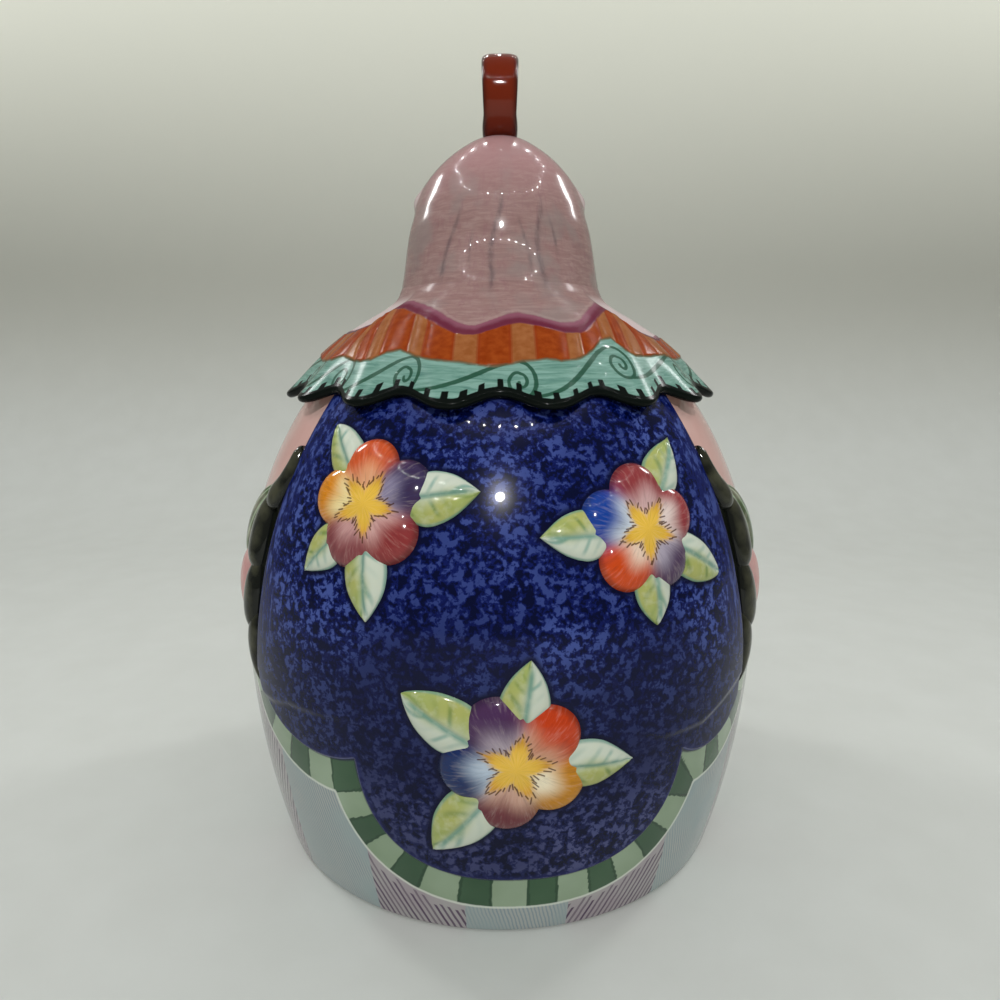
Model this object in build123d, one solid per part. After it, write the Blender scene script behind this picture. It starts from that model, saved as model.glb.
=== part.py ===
from build123d import *
import os
from math import atan2, cos, degrees, hypot, pi, radians, sin, sqrt

# A slip-cast earthenware biscuit jar with a lift-off lid. Millimetres, +Z up, front towards -Y.
# The origin is the middle of the foot, on the surface that the jar stands on.

# ---- jar: a barrel of two arcs that meet at the belly ----
belly_radius = 103.0
belly_height = 88.0
shoulder_arc = 150.0        # radius of the wall's arc above the belly
flank_arc = 320.0           # and below it
rim_height = 181.0
rim_round = 2.0
jar_wall = 6.0
floor_thickness = 7.0
floor_round = 12.0
foot_width = 9.0            # the ring that the jar stands on
foot_recess = 2.5
foot_round = 2.5

# ---- the raised blue slabs, front and back ----
field_rise = 1.6
field_margin = 4.5          # the slab's top lies this far below the rim
field_top_angle = 49.0      # half of the slab's spread, in degrees round the jar, at its top
field_low_angle = 55.0      # and where its lobes begin
lobe_line = 80.0            # height at which the lobes begin
# the three lobes at the slab's foot: middle and half width as shares of the belly's radius, and the height of the
# lowest point as a share of the lobe line's
field_lobes = [
    (-0.582, 0.243, 0.769),
    (0.068, 0.524, 0.312),
    (0.689, 0.165, 0.744),
]

# ---- flowers ----
# angle round the jar, height as a share of the rim's, direction of the first petal, size
flower_places = [
    (-25.3, 0.795, 100.0, 1.00),
    (26.9, 0.755, 88.0, 0.98),
    (2.5, 0.384, 115.0, 1.10),
]
petal_count = 5
petal_ring = 11.4           # a petal's middle from the flower's middle
petal_radius = 9.6
petal_rise = 3.9
eye_radius = 4.4            # the button in the flower's middle
eye_rise = 2.2

# ---- leaves ----
leaf_reach = 34.0           # from the flower's middle to the leaf's tip
leaf_half_width = 7.2
leaf_root = 12.0            # a leaf starts this far from the flower's middle, under the petals
leaf_rise = 2.8             # along the midrib
leaf_edge = 1.2             # and at the rim
# direction of each flower's leaves, and their shares of that reach and half width
leaf_places = [
    [(130.0, 0.93, 0.86), (10.0, 1.00, 1.14), (-84.0, 1.06, 1.00), (227.0, 0.93, 0.92)],
    [(55.0, 0.94, 0.97), (180.0, 0.97, 1.03), (-87.0, 0.87, 0.89), (-31.0, 1.06, 0.97)],
    [(82.0, 0.96, 1.03), (148.0, 1.18, 1.25), (-128.0, 1.20, 1.25), (-4.0, 1.09, 1.11)],
]

# ---- garlands down the edges of the slabs ----
garland_half_length = 12.5
garland_half_width = 5.6
garland_rise = 3.4
# angle and height (as a share of the rim's) of each lobe, its lean, and its share of that half length and half width
garland_lobes = [
    (57.0, 0.809, -38.0, 1.12, 1.00),
    (65.0, 0.704, -8.0, 1.00, 1.04),
    (63.0, 0.588, 10.0, 0.96, 1.00),
    (60.0, 0.481, 4.0, 0.92, 0.89),
]

# ---- lid: hood ----
hood_stand = 30.0           # the hood's foot lies this far above the jar's rim
hood_height = 60.0
hood_foot_radius = 38.8
hood_shoulder_rise = 39.0   # from the hood's foot
hood_shoulder_radius = 30.4
hood_shoulder_round = 12.0
hood_side_bulge = 1.1
hood_crown_bulge = 3.4
hood_flat_radius = 5.0      # under the loop the crown is flat
hood_wall = 4.5

# ---- lid: skirt ----
skirt_wall = 3.2
hem_drop = 7.4              # the hem hangs this far below the jar's rim
hem_stand_off = 5.9         # and stands this far out from the slabs
hem_flute = 2.0
over_rim = 6.2              # the skirt passes this far above the rim's outer edge
over_rim_corner = 0.4
over_rim_flute = 1.5
# level sections from there to the hood's foot: shares of the way in and of the way up, corner rise, flute depth
skirt_sections = [
    (0.315, 0.395, 1.6, 1.0),
    (0.584, 0.622, 3.0, 0.5),
    (0.849, 0.815, 3.4, 0.0),
]
flute_count = 16
flute_gather = 12.0         # degrees by which the flutes lean towards the hood's four corners
section_points = 96
scallop_rise = 3.2
scallop_radius = 28.0

# ---- lid: seat ring ----
seat_gap = 0.3
ring_clearance = 1.5
ring_wall = 4.5
ring_drop = 13.0

# ---- lid: loop ----
loop_radius = 15.5
loop_hole_radius = 9.0
loop_top_width = 14.0
loop_foot_width = 12.0
loop_edge = 2.0
loop_sink = 2.0             # the loop's foot is let into the crown by this much

# ---- heights that follow from these ----
field_top = rim_height - field_margin
hem_height = rim_height - hem_drop
hood_foot_height = rim_height + hood_stand
hood_top = hood_foot_height + hood_height
loop_middle = hood_top - loop_sink + loop_radius


def wall_arc_of(height):
    """Radius of the wall's arc at a height, and how far its centre lies from the axis."""
    radius = shoulder_arc if height > belly_height else flank_arc
    return radius, belly_radius - radius


def wall_radius(height, rise=0.0):
    """Distance from the axis to the jar's outer wall at a height, or to a skin that stands proud of it."""
    radius, centre = wall_arc_of(height)
    return centre + sqrt((radius + rise) ** 2 - (height - belly_height) ** 2)


def wall_lean(height):
    """How far the wall leans back from upright at a height, in degrees."""
    radius, _ = wall_arc_of(height)
    return degrees(atan2(height - belly_height, sqrt(radius**2 - (height - belly_height) ** 2)))


def wall_arc(low, high, rise=0.0):
    """The wall's outline from one height to another on the same side of the belly, as radius and height."""
    middle = (low + high) / 2
    radius, centre = wall_arc_of(middle)

    def place(height):
        return (centre + sqrt((radius + rise) ** 2 - (height - belly_height) ** 2), height)

    return ThreePointArc(place(low), place(middle), place(high))


def chain(*edges):
    """A face whose outline runs along the edges and closes from the last one's end to the first one's start."""
    return make_face([*edges, Line(edges[-1] @ 1, edges[0] @ 0)])


def barrel(low, high, rise=0.0):
    """Half of the barrel's section, from the axis to the wall or to a skin that stands proud of it."""
    flank = wall_arc(low, belly_height, rise)
    shoulder = wall_arc(belly_height, high, rise)
    return chain(Line((0, low), flank @ 0), flank, shoulder, Line(shoulder @ 1, (0, high)))


def corner(section, radius, height):
    """The section's corner that lies nearest to a place."""
    return section.vertices().sort_by_distance((radius, height, 0))[0]


def turned(section):
    """The solid that a half section makes when it is turned about the jar's axis."""
    return revolve(Plane.XZ * section, Axis.Z)


def make_jar_body():
    """The cast barrel: outer wall, hollow, foot ring and mouth."""
    outside = barrel(0, rim_height)
    outside = fillet(corner(outside, wall_radius(0), 0), foot_round)
    outside = fillet(corner(outside, wall_radius(rim_height), rim_height), rim_round)
    hollow = barrel(floor_thickness, rim_height, -jar_wall)
    hollow = fillet(corner(hollow, wall_radius(floor_thickness), floor_thickness), floor_round)
    recess = Rectangle(wall_radius(0) - foot_width, foot_recess, align=(Align.MIN, Align.MIN))
    return turned(outside - hollow - recess)


def field_outline():
    """The slab's outline as it is seen from straight in front: sides that widen downwards, and three lobes."""
    heights = (lobe_line, (lobe_line + field_top) / 2, field_top)
    angles = (field_low_angle, (field_low_angle + field_top_angle) / 2, field_top_angle)
    side = [(wall_radius(h, field_rise) * sin(radians(a)), h) for h, a in zip(heights, angles)]
    right = ThreePointArc(*side)
    left = ThreePointArc(*[(-x, h) for x, h in side])
    outline = make_face([right, Line(right @ 1, left @ 1), left, Line(left @ 0, right @ 0)])
    below = Pos(0, lobe_line) * Rectangle(2 * belly_radius, lobe_line, align=(Align.CENTER, Align.MAX))
    for middle, half_width, foot in field_lobes:
        lobe = Ellipse(half_width * belly_radius, lobe_line * (1 - foot))
        outline += Pos(middle * belly_radius, lobe_line) * lobe & below
    return outline


def make_field():
    """The blue slab on the front of the jar."""
    skin = turned(barrel(0, field_top, field_rise) - barrel(0, field_top))
    return skin & extrude(Plane.XZ * field_outline(), 2 * belly_radius)


def on_wall(angle, height, rise=0.0):
    """The plane that lies on the wall at an angle round the jar from its front, and a height. Its x runs round
    the jar, its y up the wall and its z straight out."""
    turn = radians(angle)
    lean = radians(wall_lean(height))
    reach = wall_radius(height, rise)
    return Plane(
        origin=(reach * sin(turn), -reach * cos(turn), height),
        x_dir=(cos(turn), sin(turn), 0),
        z_dir=(sin(turn) * cos(lean), -cos(turn) * cos(lean), sin(lean)),
    )


def step_on_wall(angle, height, direction, distance):
    """The angle and height that lie a distance along the wall from a place on it."""
    up = distance * sin(radians(direction)) * cos(radians(wall_lean(height)))
    round_jar = distance * cos(radians(direction))
    return angle + degrees(round_jar / wall_radius(height)), height + up


def cap(radius, rise):
    """A ball whose part above its plane is a domed cap of that radius and rise."""
    ball = (radius**2 + rise**2) / (2 * rise)
    return Pos(0, 0, rise - ball) * Sphere(ball)


def make_flower(angle, height, first, size, seat):
    """Five domed petals round a button, pressed as one piece and seated on the slab."""
    flower = on_wall(angle, height, field_rise) * cap(eye_radius * size, eye_rise)
    for k in range(petal_count):
        direction = first - 360 / petal_count * k
        place = step_on_wall(angle, height, direction, petal_ring * size)
        flower += on_wall(*place, field_rise) * cap(petal_radius * size, petal_rise)
    return flower - seat


def make_leaf(angle, height, direction, reach, half_width, seat):
    """A pointed leaf from under the petals to its tip, with a ridge along its midrib."""
    half_length = (reach - leaf_root) / 2
    place = step_on_wall(angle, height, direction, leaf_root + half_length)
    flank = ThreePointArc((-half_length, 0), (0, half_width), (half_length, 0))
    other = ThreePointArc((half_length, 0), (0, -half_width), (-half_length, 0))
    depth = leaf_rise + field_rise
    blade = Pos(0, 0, -depth) * extrude(make_face([flank, other]), 2 * depth)
    ridge = Polyline(
        (-half_width, -depth),
        (half_width, -depth),
        (half_width, leaf_edge),
        (0, leaf_rise),
        (-half_width, leaf_edge),
        close=True,
    )
    roof = Pos(half_length, 0, 0) * extrude(Plane.YZ * make_face(ridge), -2 * half_length)
    leaf = on_wall(*place, field_rise) * Rot(0, 0, direction) * (blade & roof)
    return leaf - seat


def make_sprigs():
    """The flowers and the leaves on the front of the jar, each seated on the slab."""
    seat = turned(barrel(0, field_top, field_rise))
    flowers = []
    leaves = []
    for (angle, share, first, size), around in zip(flower_places, leaf_places):
        height = share * rim_height
        flower = make_flower(angle, height, first, size, seat)
        flowers.append(flower)
        for direction, reach, width in around:
            leaf = make_leaf(angle, height, direction, reach * leaf_reach, width * leaf_half_width, seat)
            leaves.append(leaf - flower)
    return Compound(flowers), Compound(leaves)


def plump_lobe(half_length, half_width, rise):
    """A plump lobe that lies along x and is pointed at both ends. What shows above its plane is twice the half
    length and half width, and as high as the rise."""
    sunk = (half_width**2 - rise**2) / (2 * rise)
    arc_radius = (half_length**2 + rise**2) / (2 * rise)
    thick = sunk + rise
    tip = sqrt(arc_radius**2 - (arc_radius - thick) ** 2)
    section = chain(ThreePointArc((-tip, 0), (0, thick), (tip, 0)))
    return Pos(0, 0, -sunk) * revolve(section, Axis.X)


def make_garland(side, seat):
    """The chains of lobes down both edges of the slabs on one side of the jar: 1 is the right, -1 the left."""
    lobes = []
    for angle, share, lean, length, width in garland_lobes:
        lobe = plump_lobe(length * garland_half_length, width * garland_half_width, garland_rise)
        for round_jar, tilt in ((side * angle, 90 + side * lean), (side * (180 - angle), 90 - side * lean)):
            lobes.append(on_wall(round_jar, share * rim_height) * Rot(0, 0, tilt) * lobe - seat)
    return Compound(lobes)


def hood_section(wall=0.0):
    """Half of the bell's section, or of the hollow that a wall's thickness leaves inside it."""
    foot = (hood_foot_radius - wall, hood_foot_height)
    shoulder = (hood_shoulder_radius - wall, hood_foot_height + hood_shoulder_rise)
    flat = (hood_flat_radius, hood_top - wall)
    side = SagittaArc(foot, shoulder, -hood_side_bulge)
    crown = SagittaArc(shoulder, flat, -hood_crown_bulge)
    section = chain(Line((0, foot[1]), foot), side, crown, Line(flat, (0, flat[1])))
    return fillet(corner(section, *shoulder), hood_shoulder_round - wall)


def hem_radius():
    """The hem's radius, which stands out from the slabs."""
    return wall_radius(hem_height, field_rise) + hem_stand_off


def skirt_profile():
    """Radius, height, corner rise and flute depth of the skirt's sections, from the hem to the hood."""
    profile = [(hem_radius(), hem_height, 0.0, hem_flute)]
    low_radius = wall_radius(rim_height)
    low_height = rim_height + over_rim
    profile.append((low_radius, low_height, over_rim_corner, over_rim_flute))
    for way_in, way_up, corner_rise, flute in skirt_sections:
        radius = low_radius + way_in * (hood_foot_radius - low_radius)
        height = low_height + way_up * (hood_foot_height - low_height)
        profile.append((radius, height, corner_rise, flute))
    return [*profile, (hood_foot_radius, hood_foot_height, 0.0, 0.0)]


def skirt_outline(radius, height, corner_rise, flute, share):
    """One level outline of the skirt: bulged at the hood's four corners and waved by the flutes."""
    points = []
    for k in range(section_points):
        turn = 2 * pi * k / section_points
        angle = turn + radians(flute_gather) * share * sin(4 * turn)
        reach = radius + corner_rise * (1 - cos(4 * angle)) / 2 - flute * cos(flute_count * turn)
        points.append((reach * sin(angle), -reach * cos(angle), height))
    steps = [k / section_points for k in range(section_points + 1)]
    return Face(Wire([Edge.make_spline(points, periodic=True, parameters=steps)]))


def under_skirt():
    """Half of the section of everything below the skirt: its own profile, moved in by the wall."""
    places = [(radius, height) for radius, height, *_ in skirt_profile()]
    moved = []
    for (radius, height), before, after in zip(places, places[:1] + places[:-1], places[1:] + places[-1:]):
        length = hypot(after[0] - before[0], after[1] - before[1])
        in_by = skirt_wall * (after[1] - before[1]) / length
        down_by = skirt_wall * (before[0] - after[0]) / length
        moved.append((radius - in_by, height - down_by))
    hem, low, _, middle, high, _ = moved
    top = (hood_foot_radius - hood_wall, hood_foot_height)
    wide = ThreePointArc(hem, low, middle)
    flare = ThreePointArc(middle, high, top)
    foot = rim_height - ring_drop
    return chain(Line((0, foot), (hem[0], foot)), Line((hem[0], foot), hem), wide, flare, Line(top, (0, top[1])))


def make_skirt():
    """The fluted skirt: lofted through its level outlines, hollowed from below, with a scalloped hem."""
    profile = skirt_profile()
    outlines = [skirt_outline(*section, k / (len(profile) - 1)) for k, section in enumerate(profile)]
    skirt = loft(outlines) - turned(under_skirt())
    reach = hem_radius()
    arch = Cylinder(scallop_radius, reach, align=(Align.CENTER, Align.CENTER, Align.MIN))
    arch = Pos(0, 0, hem_height + scallop_rise - scallop_radius) * Rot(90, 0, 0) * Pos(0, 0, reach / 2) * arch
    for k in range(flute_count):
        skirt -= Rot(0, 0, 360 / flute_count * k) * arch
    return skirt


def make_seat_ring():
    """The ring under the lid: a land that sits on the mouth, and a rim that drops inside it."""
    mouth = wall_radius(rim_height, -jar_wall)
    outer = mouth - ring_clearance
    land = wall_radius(rim_height) - rim_round
    bottom = rim_height - ring_drop
    rest = rim_height + seat_gap
    ring = Polyline(
        (outer - ring_wall, bottom),
        (outer, bottom),
        (outer, rest),
        (land, rest),
        (land, hood_foot_height),
        (outer - ring_wall, hood_foot_height),
        close=True,
    )
    return turned(make_face(ring) & under_skirt())


def make_loop():
    """The strap-like loop on the hood, which narrows a little towards its foot."""
    ring = Circle(loop_radius) - Circle(loop_hole_radius)
    strap = extrude(Plane.YZ * ring, loop_top_width, both=True)
    sides = Polyline(
        (-loop_foot_width / 2, -loop_radius),
        (loop_foot_width / 2, -loop_radius),
        (loop_top_width / 2, loop_radius),
        (-loop_top_width / 2, loop_radius),
        close=True,
    )
    strap &= extrude(Plane.XZ * make_face(sides), loop_radius, both=True)
    strap = fillet(strap.edges(), loop_edge)
    return Pos(0, 0, loop_middle) * strap - turned(hood_section())


def main():
    """Builds every piece and writes it as a file of its own."""
    other_side = Rot(0, 0, 180)
    field = make_field()
    flowers, leaves = make_sprigs()
    seat = turned(barrel(0, rim_height)) + field + other_side * field
    pieces = {
        "jar_body": make_jar_body(),
        "field_front": field,
        "field_back": other_side * field,
        "flowers_front": flowers,
        "flowers_back": other_side * flowers,
        "leaves_front": leaves,
        "leaves_back": other_side * leaves,
        "garland_left": make_garland(-1, seat),
        "garland_right": make_garland(1, seat),
        "hood": turned(hood_section() - hood_section(hood_wall)),
        "skirt": make_skirt(),
        "seat_ring": make_seat_ring(),
        "loop": make_loop(),
    }
    os.makedirs("parts", exist_ok=True)
    for name, piece in pieces.items():
        export_step(piece, f"parts/{name}.step")


main()
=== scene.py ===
import math
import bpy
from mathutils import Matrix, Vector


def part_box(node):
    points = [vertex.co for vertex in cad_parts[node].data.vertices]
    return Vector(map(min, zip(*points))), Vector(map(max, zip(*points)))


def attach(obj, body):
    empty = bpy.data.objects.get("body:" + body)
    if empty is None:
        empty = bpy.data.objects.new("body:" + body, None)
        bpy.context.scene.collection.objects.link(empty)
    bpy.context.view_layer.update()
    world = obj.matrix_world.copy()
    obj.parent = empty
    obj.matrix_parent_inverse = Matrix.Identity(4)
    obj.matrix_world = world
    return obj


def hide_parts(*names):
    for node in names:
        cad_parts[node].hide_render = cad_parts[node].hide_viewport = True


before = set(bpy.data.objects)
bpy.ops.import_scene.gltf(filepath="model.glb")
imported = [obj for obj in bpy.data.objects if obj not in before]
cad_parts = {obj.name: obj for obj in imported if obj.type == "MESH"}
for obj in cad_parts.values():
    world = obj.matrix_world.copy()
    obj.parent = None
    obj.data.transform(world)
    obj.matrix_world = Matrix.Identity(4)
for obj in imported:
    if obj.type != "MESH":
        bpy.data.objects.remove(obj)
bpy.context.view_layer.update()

from types import SimpleNamespace

import bmesh
import bpy
import numpy as np
from bpy.props import FloatProperty, FloatVectorProperty, IntProperty, PointerProperty
from bpy.types import Operator, Panel, PropertyGroup
from mathutils import Vector

bl_info = {
    "name": "Painted biscuit jar",
    "version": (1, 0, 0),
    "blender": (4, 5, 0),
    "location": "3D View > Sidebar > Biscuit Jar",
    "description": "Makes the glazed jar, its relief flowers, its fluted lid and the stage that they stand on",
    "category": "Object",
}

MM = 0.001
JAR_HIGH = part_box("jar_body")[1]
LOOP_LOW, LOOP_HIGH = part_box("loop")

# The numbers below are in millimetres, apart from the sidebar's sizes and the stage's, which are in metres. Places on
# the jar are given as degrees round it from the front (towards the right) and millimetres up. Front and back carry
# the same relief, half a turn apart.

HEEL, LIP, BOWL = 2.5, 2.0, 12.0    # radii of the jar's heel, its lip and the bowl of its floor inside
RECESS, FOOT_RING = 2.5, 9          # how deep the jar is hollowed inside its foot ring, and how far in that starts
UNROLLED, HATCH_REACH = 98, 96      # distance from the axis at which the wall is unrolled to lay paint on it
BAND_REACH, HEM_REACH = 77, 82      # the same for the lid's teal band and for its hem
HEM_TICKS = 86                      # brushed ticks along the hem
LINE_POINTS = 400                   # points on the skirt's profile

# the three lobes at a slab's foot: middle, half width and lowest point, as seen from straight in front, and how
# square they are (2 is an ellipse)
LOBES = ((-59.9, 25.0, 61.5, 2.0), (7.0, 54.0, 25.0, 2.85), (70.0, 17.0, 59.5, 2.0))
LOBE_LINE = 80.0
SLAB_TOP = 176.5
SLAB_SIDES = ((80.0, 55.0), (128.0, 52.5), (176.5, 49.0))      # height, half of the spread
# the line where the slab's thicker upper part ends, fading out towards the middle
STEP_LINE = ((-56, 72.4), (-48, 73.3), (-42, 76), (-33, 76.8), (0, 82), (22, 76), (30, 71), (40, 70.7), (54, 79))
# middles of the dark squares in the band under the slab
DARK_CHECKS = (
    (-55, 65), (-42, 56), (-30, 54), (-27, 36), (-17.6, 26.3), (-4.5, 18.8),
    (8.5, 18.1), (20.8, 21.2), (31.2, 30), (39.5, 47), (47, 54), (59, 62),
)
BAND_WIDTH = 12.8
# the degrees at which one hatched panel meets the next
PANEL_EDGES = (-130, -110, -90, -70, -50, -27, -7, 14, 36, 57, 77, 97, 117, 137, 157, 177, 195, 212, 230, 250)

# flower: place, direction of the first petal, size, then each petal's colour at its rim and by the star
FLOWERS = (
    ((-25.3, 143.9), 100, 1.00, (
        ("#CF5526", "#E9A67A"), ("#3A3054", "#8F88A4"), ("#8E3636", "#CFA09A"), ("#844246", "#BE8F8C"),
        ("#D8860F", "#F0DDA0"))),
    ((26.9, 136.7), 88, 0.98, (
        ("#8F3A3C", "#D6AEAC"), ("#97393D", "#E6D3CC"), ("#4E3A58", "#A79FAE"), ("#D04A12", "#EBCDB6"),
        ("#123F96", "#CBD6E2"))),
    ((2.5, 69.5), 115, 1.10, (
        ("#4C2F56", "#A99BA8"), ("#C43E12", "#CF9678"), ("#C5830D", "#EFE3C4"), ("#6E3138", "#C39A86"),
        ("#142E60", "#B6C6D6"))),
)
PETAL_RING, PETAL_RADIUS, PETAL_RISE = 11.4, 9.6, 3.7
STAR_ARM, STAR_NECK, STAR_DASHES = 10.8, 5.4, 50
# leaf: direction, reach, half width, how blunt its tip is, and which side is green (1 the left one, -1 the right)
LEAVES = (
    ((130, 31.6, 6.6, 0.62, 1), (10, 34.5, 8.4, 0.9, -1), (-84, 36.0, 7.4, 0.85, -1), (227, 32.0, 6.8, 0.9, -1)),
    ((55, 33.0, 7.2, 1.0, 1), (180, 33.0, 7.6, 0.95, -1), (-87, 29.8, 6.6, 0.8, -1), (-31, 36.0, 7.2, 0.6, -1)),
    ((82, 33.0, 7.5, 0.85, 1), (148, 40.0, 9.1, 0.75, -1), (-128, 40.8, 9.2, 0.8, -1), (-4, 37.2, 8.2, 0.95, -1)),
)
LEAF_ROOT, LEAF_RISE = 8.0, 2.6

# the side garland, on the right side of the front: points of each lobe's middle line, with half width and rise
GARLAND = (
    ((52.6, 152.5, 1.8, 2.0), (51.5, 156.5, 2.6, 3.0), (51.6, 151.5, 3.4, 3.6), (53.2, 146, 4.2, 3.8),
     (56, 141, 4.8, 4.0), (59, 137.5, 3.4, 2.8)),
    ((57.2, 142, 3.0, 2.4), (58.4, 134, 6.0, 4.0), (58.9, 126, 6.6, 4.4), (58.8, 119, 5.4, 4.0), (58.4, 114, 2.6, 2.2)),
    ((57.4, 120, 2.6, 2.2), (58.4, 111, 5.8, 3.8), (58.8, 103, 6.0, 4.0), (58.4, 97, 4.4, 3.4), (57.8, 92, 2.0, 1.8)),
    ((56.2, 102, 1.8, 1.6), (57.0, 95, 4.0, 3.0), (57.6, 87, 4.2, 3.0), (57.2, 80, 2.8, 2.2), (56.6, 74, 1.0, 1.0)),
)
STRIPED_LEAF = (
    (61, 144, 2.0, 1.2), (64, 138, 4.6, 2.6), (67, 130, 5.6, 3.2), (68.5, 121, 4.4, 2.6), (68.5, 113, 1.6, 1.0))
PINK_PETAL = (
    (64, 121, 2.6, 1.6), (66.5, 115, 5.0, 3.0), (67.5, 108, 5.4, 3.2), (66.5, 101, 4.2, 2.4), (65, 95, 1.6, 1.0))

# the lid's painted bands: degrees round, then distance from the axis, for the brushed border and for the foot of
# the orange blocks; then the degrees at which one block meets the next
BORDER = (
    (-90, 60), (-64, 60.5), (-51, 59), (-48, 52.5), (-45, 49.5), (-39.7, 49.5), (-32.5, 52), (-26.9, 53.9),
    (-22.1, 55.8), (-17.7, 57.8), (-14.2, 59.3), (-10.9, 60.1), (-8, 60), (-4.3, 58.1), (0, 56.2), (3, 55.2),
    (6.5, 55), (9.5, 55.7),
    (12.5, 56.5), (15.2, 57.8), (18, 58.9), (20.3, 59.6), (22.7, 59.8), (25.6, 59.5), (28.3, 58.7), (31.6, 56.8),
    (35.7, 54.4), (41, 51.7), (45.1, 50.1), (47.5, 53), (50, 59), (54, 62.5), (64, 63.5), (90, 60),
)
ORANGE_FOOT = (
    (-90, 71.5), (-80, 70.3), (-54, 72.2), (-50, 70.6), (-46, 70.9), (-40, 72.2), (-36, 72), (-33, 69.6), (-28.6, 67.8),
    (-21, 70.4), (-15.6, 71.9), (-8.8, 72.3), (-3, 72.4), (4.8, 71.5), (11.8, 71.3), (15.6, 72), (21, 70.8), (27, 67.4),
    (31, 64.4), (35, 64.2), (37, 68.6), (40, 70.6), (44, 70.1), (50, 70.4), (64, 71), (82.6, 71.3), (90, 71.5),
)
BLOCK_EDGES = (
    -90, -82, -74, -66, -59, -50, -46, -41, -36, -27, -22, -13, -6, 3, 10, 19, 24, 31, 36, 40, 46, 52, 61, 70, 80, 90)
# the scroll's curls on the teal band: degrees round, distance from the axis
CURLS = ((-62.2, 76.0), (-44.6, 76.3), (-23.4, 75.4), (5.0, 76.8), (32.8, 72.2), (57.4, 75.2), (82.0, 75.4))

# the hood's outer profile: distance from the axis, height
HOOD = (
    (40.3, 211.0), (39.45, 212.9), (38.88, 214.6), (38.6, 216), (38.0, 219.1), (37.2, 223.7), (36.1, 230.4),
    (34.7, 237.0), (33.2, 241.6), (31.7, 246.1), (29.8, 250.5), (27.4, 255.2), (24.8, 258.4), (21.6, 261.6),
    (18.2, 264.4), (14.4, 267.0), (11.0, 269.0), (8.0, 270.3), (4.5, 270.9), (1.0, 271.0),
)
# the grey smudges down the hood: middle in degrees, how it bends, width, lower and upper end
SMUDGES = (
    (-28, 1.6, 1.3, 212, 244), (-15, -0.9, 0.8, 218, 236), (-3, 1.2, 1.5, 208, 250), (13, -1.4, 0.9, 215, 240),
    (22, 1.2, 1.6, 210, 247), (31, -1.0, 0.9, 222, 240),
)
# the low knob on each side of the hood: degrees from the front, height
KNOB = (93, 249)
# level sections of the skirt from hem to hood: radius, height, rise at the hood's corners, depth of the flutes
SKIRT = ((84.0, 173.6, 0.0, 2.0), (77.4, 181.2, 0.1, 1.1), (70.9, 188.4, 0.4, 0.5), (65.0, 193.6, 1.0, 0.35),
         (58.5, 198.4, 2.0, 0.25), (50.5, 203.3, 3.0, 0.1), (43.9, 207.4, 2.6, 0.0), (40.4, 211.0, 1.0, 0.0),
         (38.9, 214.6, 0.0, 0.0))


def linear(code):
    """An sRGB hex colour as the linear values that Blender mixes."""
    parts = [int(code[i : i + 2], 16) / 255 for i in (1, 3, 5)]
    return (*[p / 12.92 if p <= 0.04045 else ((p + 0.055) / 1.055) ** 2.4 for p in parts], 1.0)


def length(name, description, default):
    """A size that the sidebar shows with its unit."""
    return FloatProperty(name=name, description=description, default=default, min=0.0, unit="LENGTH", precision=4)


def paint(name, description, code):
    """A colour that the sidebar shows."""
    return FloatVectorProperty(
        name=name, description=description, default=linear(code), size=4, subtype="COLOR", min=0, max=1)


class JarSizes(PropertyGroup):
    belly_radius: length("Belly radius", "Widest distance from the axis to the jar's wall", JAR_HIGH.x)
    belly_height: length("Belly height", "Height of the jar's widest place", 0.088)
    shoulder_arc: length("Shoulder arc", "Radius of the wall's arc above the belly", 0.150)
    flank_arc: length("Flank arc", "Radius of the wall's arc below the belly", 0.320)
    rim_height: length("Rim height", "Height of the jar's mouth", JAR_HIGH.z)
    wall: length("Wall", "Thickness of the jar's wall", 0.006)
    floor: length("Floor", "Thickness of the jar's floor", 0.007)
    slab_rise: length("Slab rise", "How far the blue slabs stand proud of the wall", 0.0016)


class LidSizes(PropertyGroup):
    hood_wall: length("Hood wall", "Thickness of the hood's wall", 0.0045)
    skirt_wall: length("Skirt wall", "Thickness of the skirt", 0.0032)
    scallop: length("Scallop", "Height of the waves along the skirt's hem", 0.0034)
    flutes: IntProperty(name="Flutes", description="Number of flutes round the skirt", default=16, min=4, max=40)
    gather: FloatProperty(
        name="Gather", description="How far the flutes lean towards the hood's corners", default=math.radians(12),
        subtype="ANGLE")
    strap_width: length("Strap width", "Width of the loop's strap", (LOOP_HIGH.x - LOOP_LOW.x))


class GlazeColours(PropertyGroup):
    cobalt: paint("Cobalt", "Ground of the sponged slabs", "#0B1756")
    cobalt_dark: paint("Cobalt, pooled", "Where the sponged colour pooled", "#000420")
    cobalt_pale: paint("Cobalt, thin", "Where the sponge left a thin coat", "#4A5CA2")
    check_dark: paint("Dark check", "Dark squares of the band", "#314F37")
    check_pale: paint("Pale check", "Pale squares of the band", "#84997C")
    teal: paint("Teal", "The skirt's outer band", "#668F82")
    orange: paint("Orange", "Dark blocks of the skirt", "#86330C")
    peach: paint("Peach", "Pale blocks of the skirt", "#8E5229")
    border: paint("Border", "Brushed line round the hood's foot", "#66293E")
    mauve: paint("Mauve", "Wash over the hood", "#937470")
    line: paint("Line", "Hem, ticks and garland", "#0D120F")
    strap: paint("Strap", "The loop on the hood", "#6E2107")


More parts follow.
